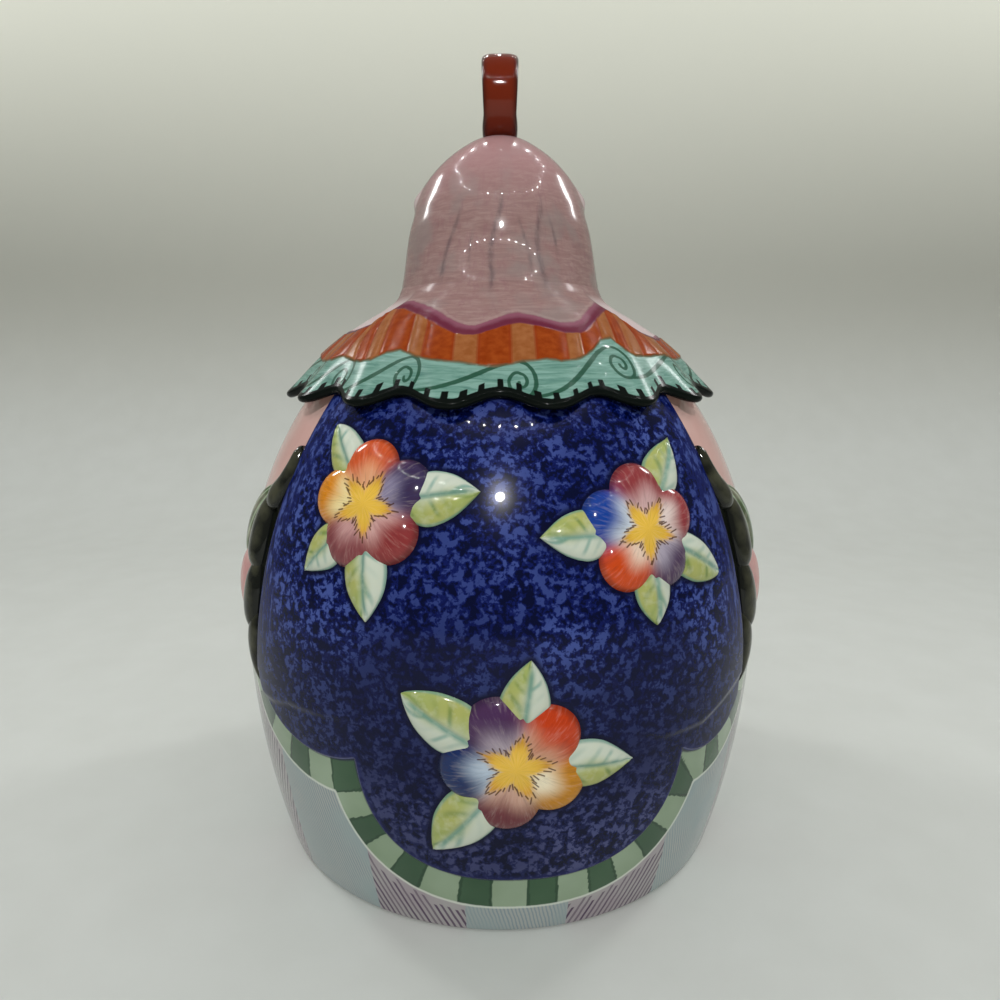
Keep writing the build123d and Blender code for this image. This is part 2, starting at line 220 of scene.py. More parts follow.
class StageSettings(PropertyGroup):
    focal: FloatProperty(
        name="Focal length", description="Camera lens in millimetres", default=27.04, subtype="DISTANCE_CAMERA")
    camera_back: length("Camera distance", "From the jar's axis to the camera", 0.3097)
    camera_height: length("Camera height", "From the floor to the camera", 0.1907)
    pitch: FloatProperty(
        name="Pitch", description="How far the camera looks down", default=math.radians(11.14), subtype="ANGLE")
    lamp_power: FloatProperty(
        name="Lamp power", description="Power of the round lamp in front", default=9.5, subtype="POWER")
    bulb_power: FloatProperty(
        name="Bulb power", description="Power of each small bulb", default=0.055, subtype="POWER")
    bulbs: IntProperty(name="Bulbs", description="Number of bulbs in the ring over the jar", default=30, min=1, max=80)
    world: FloatProperty(
        name="Room light", description="Strength of the soft light from all round", default=0.23, min=0, max=2)


def own_keys(group):
    """The names of a group's own settings."""
    return [key for key in group.bl_rna.properties.keys() if key not in ("rna_type", "name")]


def in_mm(group):
    """A group's lengths in millimetres."""
    return SimpleNamespace(**{key: getattr(group, key) / MM for key in own_keys(group)})


def travel(points):
    """How far along a line each of its points lies."""
    return np.concatenate([[0], np.cumsum(np.sqrt((np.diff(points, axis=0) ** 2).sum(1)))])


def smooth(x, low, high):
    """0 below low, 1 above high and an even rise between them."""
    t = np.clip((x - low) / (high - low), 0, 1)
    return t * t * (3 - 2 * t)


def along(points, count):
    """A smooth line through points, as evenly counted places on it."""
    points = np.array(points, float)
    steps = travel(points)
    slopes = np.gradient(points, steps, axis=0)
    wanted = np.linspace(0, steps[-1], count)
    k = np.clip(np.searchsorted(steps, wanted, side="right") - 1, 0, len(steps) - 2)
    span = (steps[k + 1] - steps[k])[:, None]
    t = ((wanted - steps[k])[:, None]) / span
    return (
        (2 * t**3 - 3 * t**2 + 1) * points[k] + (t**3 - 2 * t**2 + t) * span * slopes[k]
        + (3 * t**2 - 2 * t**3) * points[k + 1] + (t**3 - t**2) * span * slopes[k + 1]
    )


def nearest(places, line):
    """Distance from each place to the nearest point of a line, and which point that is."""
    gap, which = np.empty(len(places)), np.empty(len(places), int)
    for start in range(0, len(places), 4000):
        part = places[start : start + 4000]
        square = (part**2).sum(1)[:, None] + (line**2).sum(1)[None] - 2 * part @ line.T
        which[start : start + 4000] = square.argmin(1)
        gap[start : start + 4000] = np.sqrt(np.maximum(square.min(1), 0))
    return gap, which


def wall_radius(s, height, rise=0.0):
    """Distance from the axis to the jar's wall, or to a skin that stands proud of it."""
    arc = np.where(height > s.belly_height, s.shoulder_arc, s.flank_arc)
    return s.belly_radius - arc + np.sqrt((arc + rise) ** 2 - (height - s.belly_height) ** 2)


def on_wall(s, angle, height, out=0.0):
    """Places that stand off the wall, straight out from where they are named."""
    arc = np.where(height > s.belly_height, s.shoulder_arc, s.flank_arc)
    lean = np.arcsin((height - s.belly_height) / arc)
    reach = s.belly_radius - arc + (arc + out) * np.cos(lean)
    turn = np.radians(angle)
    return np.stack([reach * np.sin(turn), -reach * np.cos(turn), s.belly_height + (arc + out) * np.sin(lean)], -1)


def step_on_wall(s, place, right, up):
    """The place on the wall that lies so far right of and above another one."""
    arc = s.shoulder_arc if place[1] > s.belly_height else s.flank_arc
    lean = math.asin((place[1] - s.belly_height) / arc)
    height = place[1] + up * math.cos(lean)
    return place[0] + np.degrees(right / wall_radius(s, height)), height


def turned(places, angle):
    """Places turned about the jar's axis."""
    c, q = math.cos(math.radians(angle)), math.sin(math.radians(angle))
    return places @ np.array([[c, q, 0], [-q, c, 0], [0, 0, 1]])


def slab_side(height):
    """Half of the slab's spread in degrees at a height."""
    (z0, a0), (z1, a1), (z2, a2) = SLAB_SIDES
    return (
        a0 * (height - z1) * (height - z2) / ((z0 - z1) * (z0 - z2))
        + a1 * (height - z0) * (height - z2) / ((z1 - z0) * (z1 - z2))
        + a2 * (height - z0) * (height - z1) / ((z2 - z0) * (z2 - z1))
    )


def slab_outline(s, spacing):
    """The slab's outline as degrees and heights: down its left side, along the lobes, up its right side and
    back along its top."""
    rise = s.slab_rise
    side = np.linspace(SLAB_TOP, LOBE_LINE, 400)
    left = np.stack([-slab_side(side), side], -1)
    lobes = []
    for own, (middle, half, foot, square) in enumerate(LOBES):
        turn = np.linspace(math.pi, 2 * math.pi, 2400)
        x = middle + half * np.sign(np.cos(turn)) * np.abs(np.cos(turn)) ** (2 / square)
        z = LOBE_LINE - (LOBE_LINE - foot) * np.abs(np.sin(turn)) ** (2 / square)
        keep = np.abs(x) < wall_radius(s, z, rise) * np.sin(np.radians(slab_side(LOBE_LINE))) + 0.01
        for other, (m, w, f, n) in enumerate(LOBES):
            if other != own:
                keep &= np.abs((x - m) / w) ** n + np.abs((z - LOBE_LINE) / (LOBE_LINE - f)) ** n >= 1
        x, z = x[keep], z[keep]
        lobes.append(np.stack([np.degrees(np.arcsin(x / wall_radius(s, z, rise))), z], -1))
    top = np.linspace(slab_side(SLAB_TOP), -slab_side(SLAB_TOP), 400)
    line = np.concatenate([left, *lobes, (left * [-1, 1])[::-1], np.stack([top, np.full(400, SLAB_TOP)], -1)])
    steps = travel(on_wall(s, line[:, 0], line[:, 1]))
    wanted = np.linspace(0, steps[-1], int(steps[-1] / spacing), endpoint=False)
    return np.stack([np.interp(wanted, steps, line[:, k]) for k in (0, 1)], -1)


def in_slab(s, angle, height):
    """Whether places lie within the slab's outline."""
    x = wall_radius(s, height, s.slab_rise) * np.sin(np.radians(angle))
    inside = (height >= LOBE_LINE) & (height <= SLAB_TOP) & (np.abs(angle) <= slab_side(height))
    edge = wall_radius(s, height, s.slab_rise) * math.sin(math.radians(slab_side(LOBE_LINE)))
    for middle, half, foot, square in LOBES:
        lobe = np.abs((x - middle) / half) ** square + np.abs((height - LOBE_LINE) / (LOBE_LINE - foot)) ** square < 1
        inside |= (height < LOBE_LINE) & lobe & (np.abs(x) <= edge)
    return inside


def petal_edge(direction, first, size):
    """How far a flower reaches from its middle in a direction, given in radians."""
    spokes = np.radians(first - 72 * np.arange(5))
    off = np.abs((direction[..., None] - spokes + math.pi) % (2 * math.pi) - math.pi)
    across = np.clip(PETAL_RADIUS**2 - (PETAL_RING * np.sin(off)) ** 2, 0, None)
    reach = np.where(off < math.pi / 2, PETAL_RING * np.cos(off) + np.sqrt(across), 0)
    return reach.max(-1) * size


def leaf_half(share, blunt):
    """A leaf's half width along its length, as a share of its widest."""
    return np.clip(np.sin(math.pi * np.clip(share, 0, 1) ** 0.9), 0, 1) ** blunt


def mesh_of(name, places, faces):
    """A smooth mesh from places in millimetres."""
    mesh = bpy.data.meshes.new(name)
    mesh.from_pydata((places * MM).tolist(), [], faces)
    made = bmesh.new()
    made.from_mesh(mesh)
    bmesh.ops.recalc_face_normals(made, faces=made.faces)
    made.to_mesh(mesh)
    made.free()
    mesh.polygons.foreach_set("use_smooth", [True] * len(mesh.polygons))
    return mesh


def grid_faces(rows, columns, rows_joined):
    """The corners of each face of a grid whose columns go all the way round."""
    r, c = np.meshgrid(np.arange(rows if rows_joined else rows - 1), np.arange(columns), indexing="ij")
    below, beside = (r + 1) % rows, (c + 1) % columns
    corners = (r * columns + c, r * columns + beside, below * columns + beside, below * columns + c)
    return np.stack(corners, -1).reshape(-1, 4)


def closed(name, places, fields, rows_joined=False):
    """A closed mesh from a grid that goes all the way round: its first and last rows are joined, or each is
    closed by a fan. The fields become attributes of the same names."""
    rows, columns = places.shape[:2]
    flat = places.reshape(-1, 3)
    faces = grid_faces(rows, columns, rows_joined).tolist()
    if not rows_joined:
        ring = np.arange(columns)
        beside = (ring + 1) % columns
        last = (rows - 1) * columns
        faces += np.stack([np.full(columns, len(flat)), beside, ring], -1).tolist()
        faces += np.stack([np.full(columns, len(flat) + 1), last + ring, last + beside], -1).tolist()
        flat = np.concatenate([flat, places[:1].mean(1), places[-1:].mean(1)])
    mesh = mesh_of(name, flat, faces)
    for label, values in fields.items():
        values = np.broadcast_to(values, places.shape[:2] + np.shape(values)[2:]).astype(float)
        depth = values.shape[2:]
        own = values.reshape(-1, *depth)
        if not rows_joined:
            own = np.concatenate([own, values[:1].mean(1), values[-1:].mean(1)])
        kind, key = {(): ("FLOAT", "value"), (3,): ("FLOAT_VECTOR", "vector"), (4,): ("FLOAT_COLOR", "color")}[depth]
        mesh.attributes.new(label, kind, "POINT").data.foreach_set(key, own.ravel())
    return mesh


def place_piece(name, meshes, finish, body, replaced=()):
    """One object from one or more meshes, which rides on a body of the model."""
    obj = bpy.data.objects.new(name, meshes[0])
    bpy.context.scene.collection.objects.link(obj)
    if len(meshes) > 1:
        others = []
        for mesh in meshes[1:]:
            other = bpy.data.objects.new(name + "_more", mesh)
            bpy.context.scene.collection.objects.link(other)
            others.append(other)
        with bpy.context.temp_override(active_object=obj, object=obj, selected_objects=[obj, *others],
                                       selected_editable_objects=[obj, *others]):
            bpy.ops.object.join()
    obj.data.materials.clear()
    obj.data.materials.append(finish)
    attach(obj, body)
    if replaced:
        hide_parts(*replaced)
    return obj


def front_and_back(name, node, grids, finish):
    """The same piece on the jar's front and, half a turn round, on its back, from grids with their fields."""
    for side, angle in (("_front", 0), ("_back", 180)):
        meshes = [closed(name + side, turned(places, angle), fields) for places, fields in grids]
        place_piece(name + side, meshes, finish, "jar", [node + side])


# short names for shader nodes: the node, the output that is used, the sockets that values feed in turn, its settings
NODES = {
    "mix": ("Mix", 2, (0, 6, 7), {"data_type": "RGBA"}),
    "blend": ("Mix", 0, (0, 2, 3), {}),
    "range": ("MapRange", 0, (0, 1, 2, 3, 4), {}),
    "ease": ("MapRange", 0, (0, 1, 2, 3, 4), {"interpolation_type": "SMOOTHSTEP"}),
    "noise": ("TexNoise", 0, ("Vector", "Scale", "Detail", "Roughness", "Distortion"), {}),
    "cells": ("TexVoronoi", "Distance", ("Vector", "Scale"), {}),
    "chance": ("TexWhiteNoise", 0, ("W",), {"noise_dimensions": "1D"}),
    "mapping": ("Mapping", 0, ("Vector", "Scale"), {}),
    "coordinates": ("TexCoord", "Object", (), {}),
    "height": ("SeparateXYZ", "Z", (0,), {}),
    "light_path": ("LightPath", "Is Camera Ray", (), {}),
    "value": ("Attribute", "Fac", (), {}),
    "vector": ("Attribute", "Vector", (), {}),
    "colour": ("Attribute", "Color", (), {}),
    "bump": ("Bump", 0, ("Height", "Distance", "Strength"), {}),
    "surface": ("BsdfPrincipled", 0, (), {}),
}
for operation in ("ADD", "SUBTRACT", "MULTIPLY", "MULTIPLY_ADD", "MODULO", "FLOOR", "FRACT", "ABSOLUTE", "LESS_THAN",
                  "GREATER_THAN"):
    NODES[operation.lower()] = ("Math", 0, (0, 1, 2), {"operation": operation})


def add(tree, kind, *values, links=None, **settings):
    """Adds a node by its short name, feeds its sockets and gives back its output. A hex code stands for a colour."""
    made_as, out, sockets, own = NODES[kind]
    made = tree.nodes.new("ShaderNode" + made_as)
    for name, value in {**own, **settings}.items():
        setattr(made, name, value)
    for socket, value in {**dict(zip(sockets, values)), **(links or {})}.items():
        if isinstance(value, bpy.types.NodeSocket):
            tree.links.new(value, made.inputs[socket])
        else:
            made.inputs[socket].default_value = linear(value) if isinstance(value, str) else value
    return made.outputs[out]


def bare_finish(name):
    """A new material whose node tree holds only its output, and the socket that its surface feeds."""
    finish = bpy.data.materials.new(name)
    finish.use_nodes = True
    tree = finish.node_tree
    tree.nodes.clear()
    return finish, tree, tree.nodes.new("ShaderNodeOutputMaterial").inputs["Surface"]


def glaze(name, roughness=0.2, wobble=0.00018, wobble_mm=22.0, coat=0.5):
    """A new clear-glazed finish. Glaze is glass: a coat that is nearly a mirror over the painted clay, with the
    slow wobble that it takes when it runs in the kiln. The wobble's height is in metres."""
    finish, tree, end = bare_finish(name)
    place = add(tree, "coordinates")
    runs = add(tree, "noise", place, 1000 / wobble_mm, 2.0)
    bump = add(tree, "bump", runs, wobble, 1.0)
    surface = add(tree, "surface", links={
        "Roughness": roughness, "IOR": 1.45, "Specular IOR Level": 0.1, "Coat Weight": coat, "Coat Roughness": 0.03,
        "Coat IOR": 1.5, "Normal": bump, "Coat Normal": bump})
    tree.links.new(surface, end)
    return finish, tree, surface.node.inputs["Base Color"], place


def sponged_cobalt(colours):
    """Cobalt sponged over white earthenware: leafy blots a millimetre or two wide that gather in clumps over a
    deeper navy, pooled dark next to the relief and thinner and greyer towards the slab's edge."""
    finish, tree, base, place = glaze("Cobalt glaze sponged on earthenware", coat=0.22)
    blots = add(tree, "noise", place, 1000 / 2.5, 3.0, 0.6, 0.3)
    clumps = add(tree, "noise", place, 1000 / 7.0, 2.0)
    grain = add(tree, "noise", place, 1000 / 1.1, 2.0)
    broad = add(tree, "noise", place, 1000 / 48.0, 2.0)
    sponge = add(tree, "multiply_add", clumps, 0.4, blots)
    sponge = add(tree, "multiply_add", grain, 0.22, sponge)
    depth = add(tree, "value", attribute_name="depth")
    upright = add(tree, "mapping", place, (1000 / 2.2, 1000 / 2.2, 1000 / 30))
    brushed = add(tree, "noise", upright, 1.0, 4.0, 0.6, 0.3)
    brushed = add(tree, "multiply_add", brushed, 0.8, 0.43)
    near_side = add(tree, "value", attribute_name="side_brush")
    sponge = add(tree, "blend", near_side, sponge, brushed)
    thin = add(tree, "ease", sponge, 0.82, 0.91, 0.0, 0.85)
    patchy = add(tree, "ease", broad, 0.4, 0.6, 0.5, 1.0)
    thin = add(tree, "multiply", thin, patchy)
    deep = add(tree, "ease", sponge, 0.8, 0.72, 0.0, 0.85)
    # the cobalt is greyer and paler towards the bottom of the slab
    parts = add(tree, "height", place)
    up = add(tree, "multiply_add", broad, 0.05, parts)
    rich = add(tree, "ease", up, 0.06, 0.12, 0.0, 1.0)
    tone = add(tree, "mix", rich, "#181F4A", colours.cobalt)
    light = add(tree, "mix", rich, "#50547C", colours.cobalt_pale)
    tone = add(tree, "mix", thin, tone, light)
    tone = add(tree, "mix", deep, tone, colours.cobalt_dark)
    # painted shade: a dark band across the slab's middle height, about 70 to 145 mm up
    low = add(tree, "ease", up, 0.068, 0.09, 0.0, 0.62)
    high = add(tree, "ease", up, 0.145, 0.11, 0.0, 1.0)
    painted_shade_band = add(tree, "multiply", low, high)
    tone = add(tree, "mix", painted_shade_band, tone, "#03092F")
    pooled = add(tree, "value", attribute_name="relief_gap")
    for distance, near, far, share, code in (
            (pooled, 0.4, 2.4, 0.92, "#04072A"), (depth, 1.1, 3.4, 0.6, "#1A2058"), (depth, 0.6, 1.0, 0.6, "#6A6F9C")):
        ring = add(tree, "ease", distance, near, far, share, 0.0)
        tone = add(tree, "mix", ring, tone, code)
    tree.links.new(tone, base)
    return finish


def banded_ground(colours):
    """Clear-glazed earthenware painted with a band of brushed checks and, below it, hatched panels."""
    finish, tree, base, place = glaze("Clear glaze over painted earthenware")
    gap, check, panel, inside, side, pink, stroke, hatch, low, strip = [
        add(tree, "value", attribute_name=name) for name in
        ("slab_gap", "check", "panel", "unpainted", "side", "pink", "stroke", "hatch", "banded", "strip")]
    fine = add(tree, "noise", place, 1000 / 4.0, 3.0)
    broad = add(tree, "noise", place, 1000 / 24.0, 2.0)
    # panels: blue wash and lilac wash by turns
    turn = add(tree, "modulo", panel, 2.0)
    shake = add(tree, "multiply_add", fine, 0.06, -0.03)
    turn = add(tree, "add", turn, shake)
    lilac = add(tree, "less_than", turn, 1.0)
    wash = add(tree, "mix", lilac, "#95A5A6", "#A3999E")
    worn = add(tree, "range", broad, 0.35, 0.65, 0.0, 0.7)
    wash = add(tree, "mix", worn, wash, "#B0B1AC")
    # slanted strokes on the lilac panels
    own = add(tree, "floor", stroke)
    luck = add(tree, "chance", own)
    bent = add(tree, "multiply_add", fine, 0.22, stroke)
    part = add(tree, "fract", bent)
    part = add(tree, "absolute", add(tree, "subtract", part, 0.5))
    mark = add(tree, "ease", part, 0.16, 0.26, 1.0, 0.0)
    power = add(tree, "range", luck, 0.0, 1.0, 0.6, 1.0)
    start = add(tree, "multiply_add", luck, 3.5, BAND_WIDTH + 1.4)
    begun = add(tree, "greater_than", gap, start)
    mark = add(tree, "multiply", mark, power)
    mark = add(tree, "multiply", mark, begun)
    mark = add(tree, "multiply", mark, lilac)
    painted = add(tree, "mix", mark, wash, "#503C55")
    # fine blue hatching on the others
    bent = add(tree, "multiply_add", fine, 0.7, hatch)
    part = add(tree, "fract", bent)
    part = add(tree, "absolute", add(tree, "subtract", part, 0.5))
    faint = add(tree, "range", part, 0.1, 0.3, 0.5, 0.0)
    patch = add(tree, "range", broad, 0.42, 0.6, 0.1, 1.0)
    faint = add(tree, "multiply", faint, patch)
    blue = add(tree, "subtract", 1.0, lilac)
    faint = add(tree, "multiply", faint, blue)
    painted = add(tree, "mix", faint, painted, "#5C7B8C")
    # the sides above the panels
    upper = add(tree, "mix", worn, "#8B9788", "#9DA299")
    blush = add(tree, "mix", worn, "#D0A29A", "#DDB9B0")
    upper = add(tree, "mix", pink, upper, blush)
    painted = add(tree, "mix", side, painted, upper)
    # the band of checks
    shake = add(tree, "multiply_add", fine, 0.04, check)
    odd = add(tree, "modulo", shake, 2.0)
    odd = add(tree, "absolute", add(tree, "subtract", odd, 1.0))
    dark = add(tree, "ease", odd, 0.49, 0.53, 0.0, 1.0)
    worn_green = add(tree, "range", broad, 0.3, 0.7, 0.0, 0.6)
    green = add(tree, "mix", worn_green, colours.check_dark, "#47684A")
    mint = add(tree, "mix", worn_green, colours.check_pale, "#A6B8A0")
    squares = add(tree, "mix", dark, mint, green)
    rim = add(tree, "absolute", add(tree, "subtract", odd, 0.56))
    rim = add(tree, "range", rim, 0.02, 0.06, 0.55, 0.0)
    squares = add(tree, "mix", rim, squares, "#1C3826")
    shake = add(tree, "multiply_add", fine, 0.5, gap)
    within = add(tree, "range", shake, BAND_WIDTH + 0.3, BAND_WIDTH + 0.8, 1.0, 0.0)
    within = add(tree, "multiply", within, low)
    painted = add(tree, "mix", within, painted, squares)
    foot = add(tree, "absolute", add(tree, "subtract", shake, BAND_WIDTH + 0.9))
    foot = add(tree, "range", foot, 0.25, 0.7, 0.75, 0.0)
    foot = add(tree, "multiply", foot, low)
    painted = add(tree, "mix", foot, painted, "#DDE3D6")
    painted = add(tree, "mix", strip, painted, "#14170F")
    seam = add(tree, "ease", shake, 0.9, 1.7, 0.85, 0.0)
    painted = add(tree, "mix", seam, painted, "#141A3C")
    painted = add(tree, "mix", inside, painted, "#DAD6C9")
    tree.links.new(painted, base)
    return finish


def brushed_petals():
    """Petals painted wet into wet under the glaze: each full at its rim and washed out by the star, with the
    strokes of a soft brush, and short dark dashes round a golden star."""
    finish, tree, base, _ = glaze("Clear glaze over brushed petals", 0.14, 0.0001, 9.0)
    tint = add(tree, "colour", attribute_name="tint")
    brush = add(tree, "vector", attribute_name="brush")
    hairs = add(tree, "noise", brush, 1.0, 3.0, 0.6)
    light = add(tree, "range", hairs, 0.52, 0.8, 0.0, 0.22)
    tone = add(tree, "mix", light, tint, "#E9D9CC")
    deep = add(tree, "range", hairs, 0.48, 0.25, 0.0, 0.3)
    tone = add(tree, "mix", deep, tone, "#40202C")
    dash = add(tree, "value", attribute_name="dash")
    mark = add(tree, "ease", dash, 0.12, 0.32, 0.85, 0.0)
    tone = add(tree, "mix", mark, tone, "#4A2812")
    tree.links.new(tone, base)
    return finish


def brushed_leaves():
    """Leaves with one half washed yellow green and the other left cream, a teal midrib and soft side veins."""
    finish, tree, base, place = glaze("Clear glaze over brushed leaves", 0.14, 0.0001, 9.0)
    tint = add(tree, "colour", attribute_name="tint")
    grain = add(tree, "noise", place, 1000 / 2.5, 3.0)
    light = add(tree, "range", grain, 0.5, 0.8, 0.0, 0.4)
    tone = add(tree, "mix", light, tint, "#D2D6BE")
    tree.links.new(tone, base)
    return finish


def dark_lobes():
    """Garland lobes under a thick green-black glaze that pooled, nearly opaque, with the olive clay colour
    showing where it ran thin over the crowns."""
    finish, tree, base, place = glaze("Pooled green-black glaze", 0.1, 0.0002, 12.0)
    crown = add(tree, "value", attribute_name="crown")
    cloud = add(tree, "noise", place, 1000 / 7.0, 3.0)
    thin = add(tree, "multiply", crown, cloud)
    thin = add(tree, "range", thin, 0.25, 0.6, 0.0, 0.8)
    tone = add(tree, "mix", thin, "#12140F", "#4B4B3A")
    tree.links.new(tone, base)
    return finish


def tinted_relief():
    """The garland's leaf and petals: thin brushed colour under the clear glaze."""
    finish, tree, base, place = glaze("Clear glaze over tinted relief", 0.14, 0.0001, 9.0)
    tint = add(tree, "colour", attribute_name="tint")
    cloud = add(tree, "noise", place, 1000 / 6.0, 3.0)
    light = add(tree, "range", cloud, 0.4, 0.75, 0.0, 0.35)
    tone = add(tree, "mix", light, tint, "#D8C6BE")
    tree.links.new(tone, base)
    return finish


def brushed_mauve(colours):
    """Mauve washed over the hood in crossing strokes of a broad brush, with a few grey smudges run down it and a crown
    that is rosier and lighter: partly the hood's own pinker tone, partly painted light from above."""
    finish, tree, base, place = glaze("Clear glaze over brushed mauve", coat=0.34)
    around = add(tree, "vector", attribute_name="brush")
    level = add(tree, "mapping", around, (0.12, 0.75, 1.0))
    upright = add(tree, "mapping", around, (0.6, 0.1, 1.0))
    hairs = add(tree, "noise", level, 1.0, 5.0, 0.65, 0.6)
    runs = add(tree, "noise", upright, 1.0, 5.0, 0.65, 0.6)
    broad = add(tree, "noise", around, 1 / 16.0, 3.0)
    tone = colours.mauve
    for strokes, none, full, share, code in (
            (hairs, 0.42, 0.68, 0.42, "#AE9690"), (hairs, 0.46, 0.3, 0.4, "#7F6465"),
            (runs, 0.47, 0.7, 0.4, "#8A6267"), (broad, 0.48, 0.66, 0.65, "#8D7F7B")):
        much = add(tree, "ease", strokes, none, full, 0.0, share)
        tone = add(tree, "mix", much, tone, code)
    # a rosier and lighter crown: partly the hood's own pinker tone, partly painted light from above
    crown = add(tree, "value", attribute_name="crown")
    rosy_and_lit_crown = add(tree, "multiply", crown, 0.7)
    tone = add(tree, "mix", rosy_and_lit_crown, tone, "#B3898A")
    smudge = add(tree, "value", attribute_name="smudge")
    broken = add(tree, "range", runs, 0.35, 0.55, 0.2, 0.6)
    broken = add(tree, "multiply", smudge, broken)
    tone = add(tree, "mix", broken, tone, "#554B50")
    # painted highlight on the pale sides of the skirt's top and on the knobs
    pale = add(tree, "value", attribute_name="painted_side_highlight")
    tone = add(tree, "mix", pale, tone, "#DCC8C8")
    tree.links.new(tone, base)
    return finish, tree, base, tone, place, hairs


def painted_skirt(colours):
    """The skirt carries the hood's mauve down to a brushed border, then orange and peach blocks, then a teal
    band with a drawn scroll, and black ticks run out to a black hem. Its glaze is thinner than the hood's, so
    the lamps leave less of a sheen on the flutes."""
    finish, tree, base, tone, place, hairs = brushed_mauve(colours)
    finish.name = "Clear glaze over painted bands"
    base.node.inputs["Coat Weight"].default_value = 0.05
    base.node.inputs["Specular IOR Level"].default_value = 0.05
    fine = add(tree, "noise", place, 1000 / 3.0, 3.0)
    border = add(tree, "value", attribute_name="border")
    foot = add(tree, "value", attribute_name="orange_foot")
    block = add(tree, "value", attribute_name="block")
    # orange and peach by turns, with a thin dark line where they meet
    turn = add(tree, "modulo", block, 2.0)
    odd = add(tree, "less_than", turn, 1.0)
    streak = add(tree, "range", fine, 0.35, 0.68, 0.0, 0.6)
    dark = add(tree, "mix", streak, colours.orange, "#A54E1C")
    pale = add(tree, "mix", streak, colours.peach, "#A66C42")
    blocks = add(tree, "mix", odd, pale, dark)
    part = add(tree, "fract", block)
    crease = add(tree, "absolute", add(tree, "subtract", part, 0.5))
    crease = add(tree, "ease", crease, 0.40, 0.47, 0.0, 0.6)
    blocks = add(tree, "mix", crease, blocks, "#8A3413")
    # the teal band
    cloud = add(tree, "ease", hairs, 0.4, 0.66, 0.0, 0.6)
    teal = add(tree, "mix", cloud, colours.teal, "#93B7AB")
    cloud = add(tree, "ease", hairs, 0.45, 0.3, 0.0, 0.7)
    teal = add(tree, "mix", cloud, teal, "#4A736C")
    scroll = add(tree, "value", attribute_name="scroll")
    shake = add(tree, "multiply_add", fine, 0.5, scroll)
    drawn = add(tree, "ease", shake, 0.15, 0.5, 0.9, 0.0)
    teal = add(tree, "mix", drawn, teal, "#1F4A36")
    shake = add(tree, "multiply_add", fine, 0.8, foot)
    out = add(tree, "range", shake, 0.2, 0.6, 0.0, 1.0)
    bands = add(tree, "mix", out, teal, blocks)
    # painted shadow: a thin dark line along the blocks' foot, where they step down onto the teal
    edge = add(tree, "absolute", add(tree, "subtract", shake, 0.35))
    edge = add(tree, "range", edge, 0.2, 0.55, 0.7, 0.0)
    bands = add(tree, "mix", edge, bands, "#6B5A3E")
    # the brushed border, deeper at its lower side, under a thin painted highlight that is only just paler
    within = add(tree, "multiply_add", fine, 0.5, border)
    within = add(tree, "subtract", within, 0.25)
    up = add(tree, "range", within, -0.1, 0.1, 0.0, 1.0)
    tone = add(tree, "mix", up, bands, tone)
    # painted highlight: a thin pale line along the border's upper edge
    line = add(tree, "absolute", add(tree, "subtract", within, 1.3))
    line = add(tree, "ease", line, 0.12, 0.34, 0.1, 0.0)
    tone = add(tree, "mix", line, tone, "#D3BDB8")
    upper = add(tree, "ease", within, -0.3, 0.7, 0.0, 0.85)
    maroon = add(tree, "mix", upper, colours.border, "#8A5264")
    mark = add(tree, "absolute", within)
    mark = add(tree, "ease", mark, 0.75, 1.15, 0.95, 0.0)
    tone = add(tree, "mix", mark, tone, maroon)
    # black ticks and hem; the hem's black is widened by painted shadow
    tick = add(tree, "value", attribute_name="tick")
    shake = add(tree, "multiply_add", fine, 0.5, tick)
    mark = add(tree, "range", shake, 0.2, 0.45, 1.0, 0.0)
    tone = add(tree, "mix", mark, tone, colours.line)
    under = add(tree, "value", attribute_name="unpainted")
    tone = add(tree, "mix", under, tone, "#DAD6C9")
    tree.links.new(tone, base)
    return finish


def dipped_orange(colours):
    """The loop was dipped in a red-orange glaze that lies even across it; it is darker along its rounded edges, which
    is painted shade.
    """
    finish, tree, base, place = glaze("Dipped red-orange glaze", 0.12, 0.0001, 8.0)
    # painted shade along the strap's rounded edges
    edge = add(tree, "value", attribute_name="edge")
    cloud = add(tree, "noise", place, 1000 / 5.0, 3.0)
    thick = add(tree, "multiply_add", cloud, 0.35, edge)
    thick = add(tree, "ease", thick, 0.2, 1.1, 0.0, 0.9)
    tone = add(tree, "mix", thick, colours.strap, "#3A0F04")
    tree.links.new(tone, base)
    return finish


def plain_glaze():
    """Unpainted cream glaze, speckled where iron in the clay came through."""
    finish, tree, base, place = glaze("Cream glaze over earthenware", 0.18)
    speck = add(tree, "cells", place, 1000 / 6.0)
    dot = add(tree, "range", speck, 0.04, 0.09, 0.5, 0.0)
    tone = add(tree, "mix", dot, "#DAD6C9", "#8A7A62")
    tree.links.new(tone, base)
    return finish


def matt_sweep(name, low, high):
    """Matt paper sweep, faintly mottled by its own fibres: its colour is painted greyer up its back as painted shade,
    and what the camera sees higher up the back is lifted by a painted glow, brighter towards the top; nothing of that
    lights the jar."""
    finish, tree, end = bare_finish(name)
    place = add(tree, "coordinates")
    fibre = add(tree, "noise", place, 1000 / 30.0, 3.0)
    much = add(tree, "range", fibre, 0.3, 0.7, 0.0, 0.15)
    parts = add(tree, "height", place)
    # painted shade: the paper greyer up its back
    up = add(tree, "ease", parts, 0.02, 0.3, 0.0, 1.0)
    tone = add(tree, "mix", up, low, high)
    tone = add(tree, "mix", much, tone, "#B8BAB2")
    # a painted glow up the back, seen only by the camera
    seen = add(tree, "light_path")
    lift = add(tree, "ease", parts, 0.22, 0.85, 0.0, 0.62)
    lift = add(tree, "multiply", lift, seen)
    surface = add(tree, "surface", links={
        "Base Color": tone, "Roughness": 0.8, "Emission Color": "#F4F6E6", "Emission Strength": lift})
    tree.links.new(surface, end)
    return finish


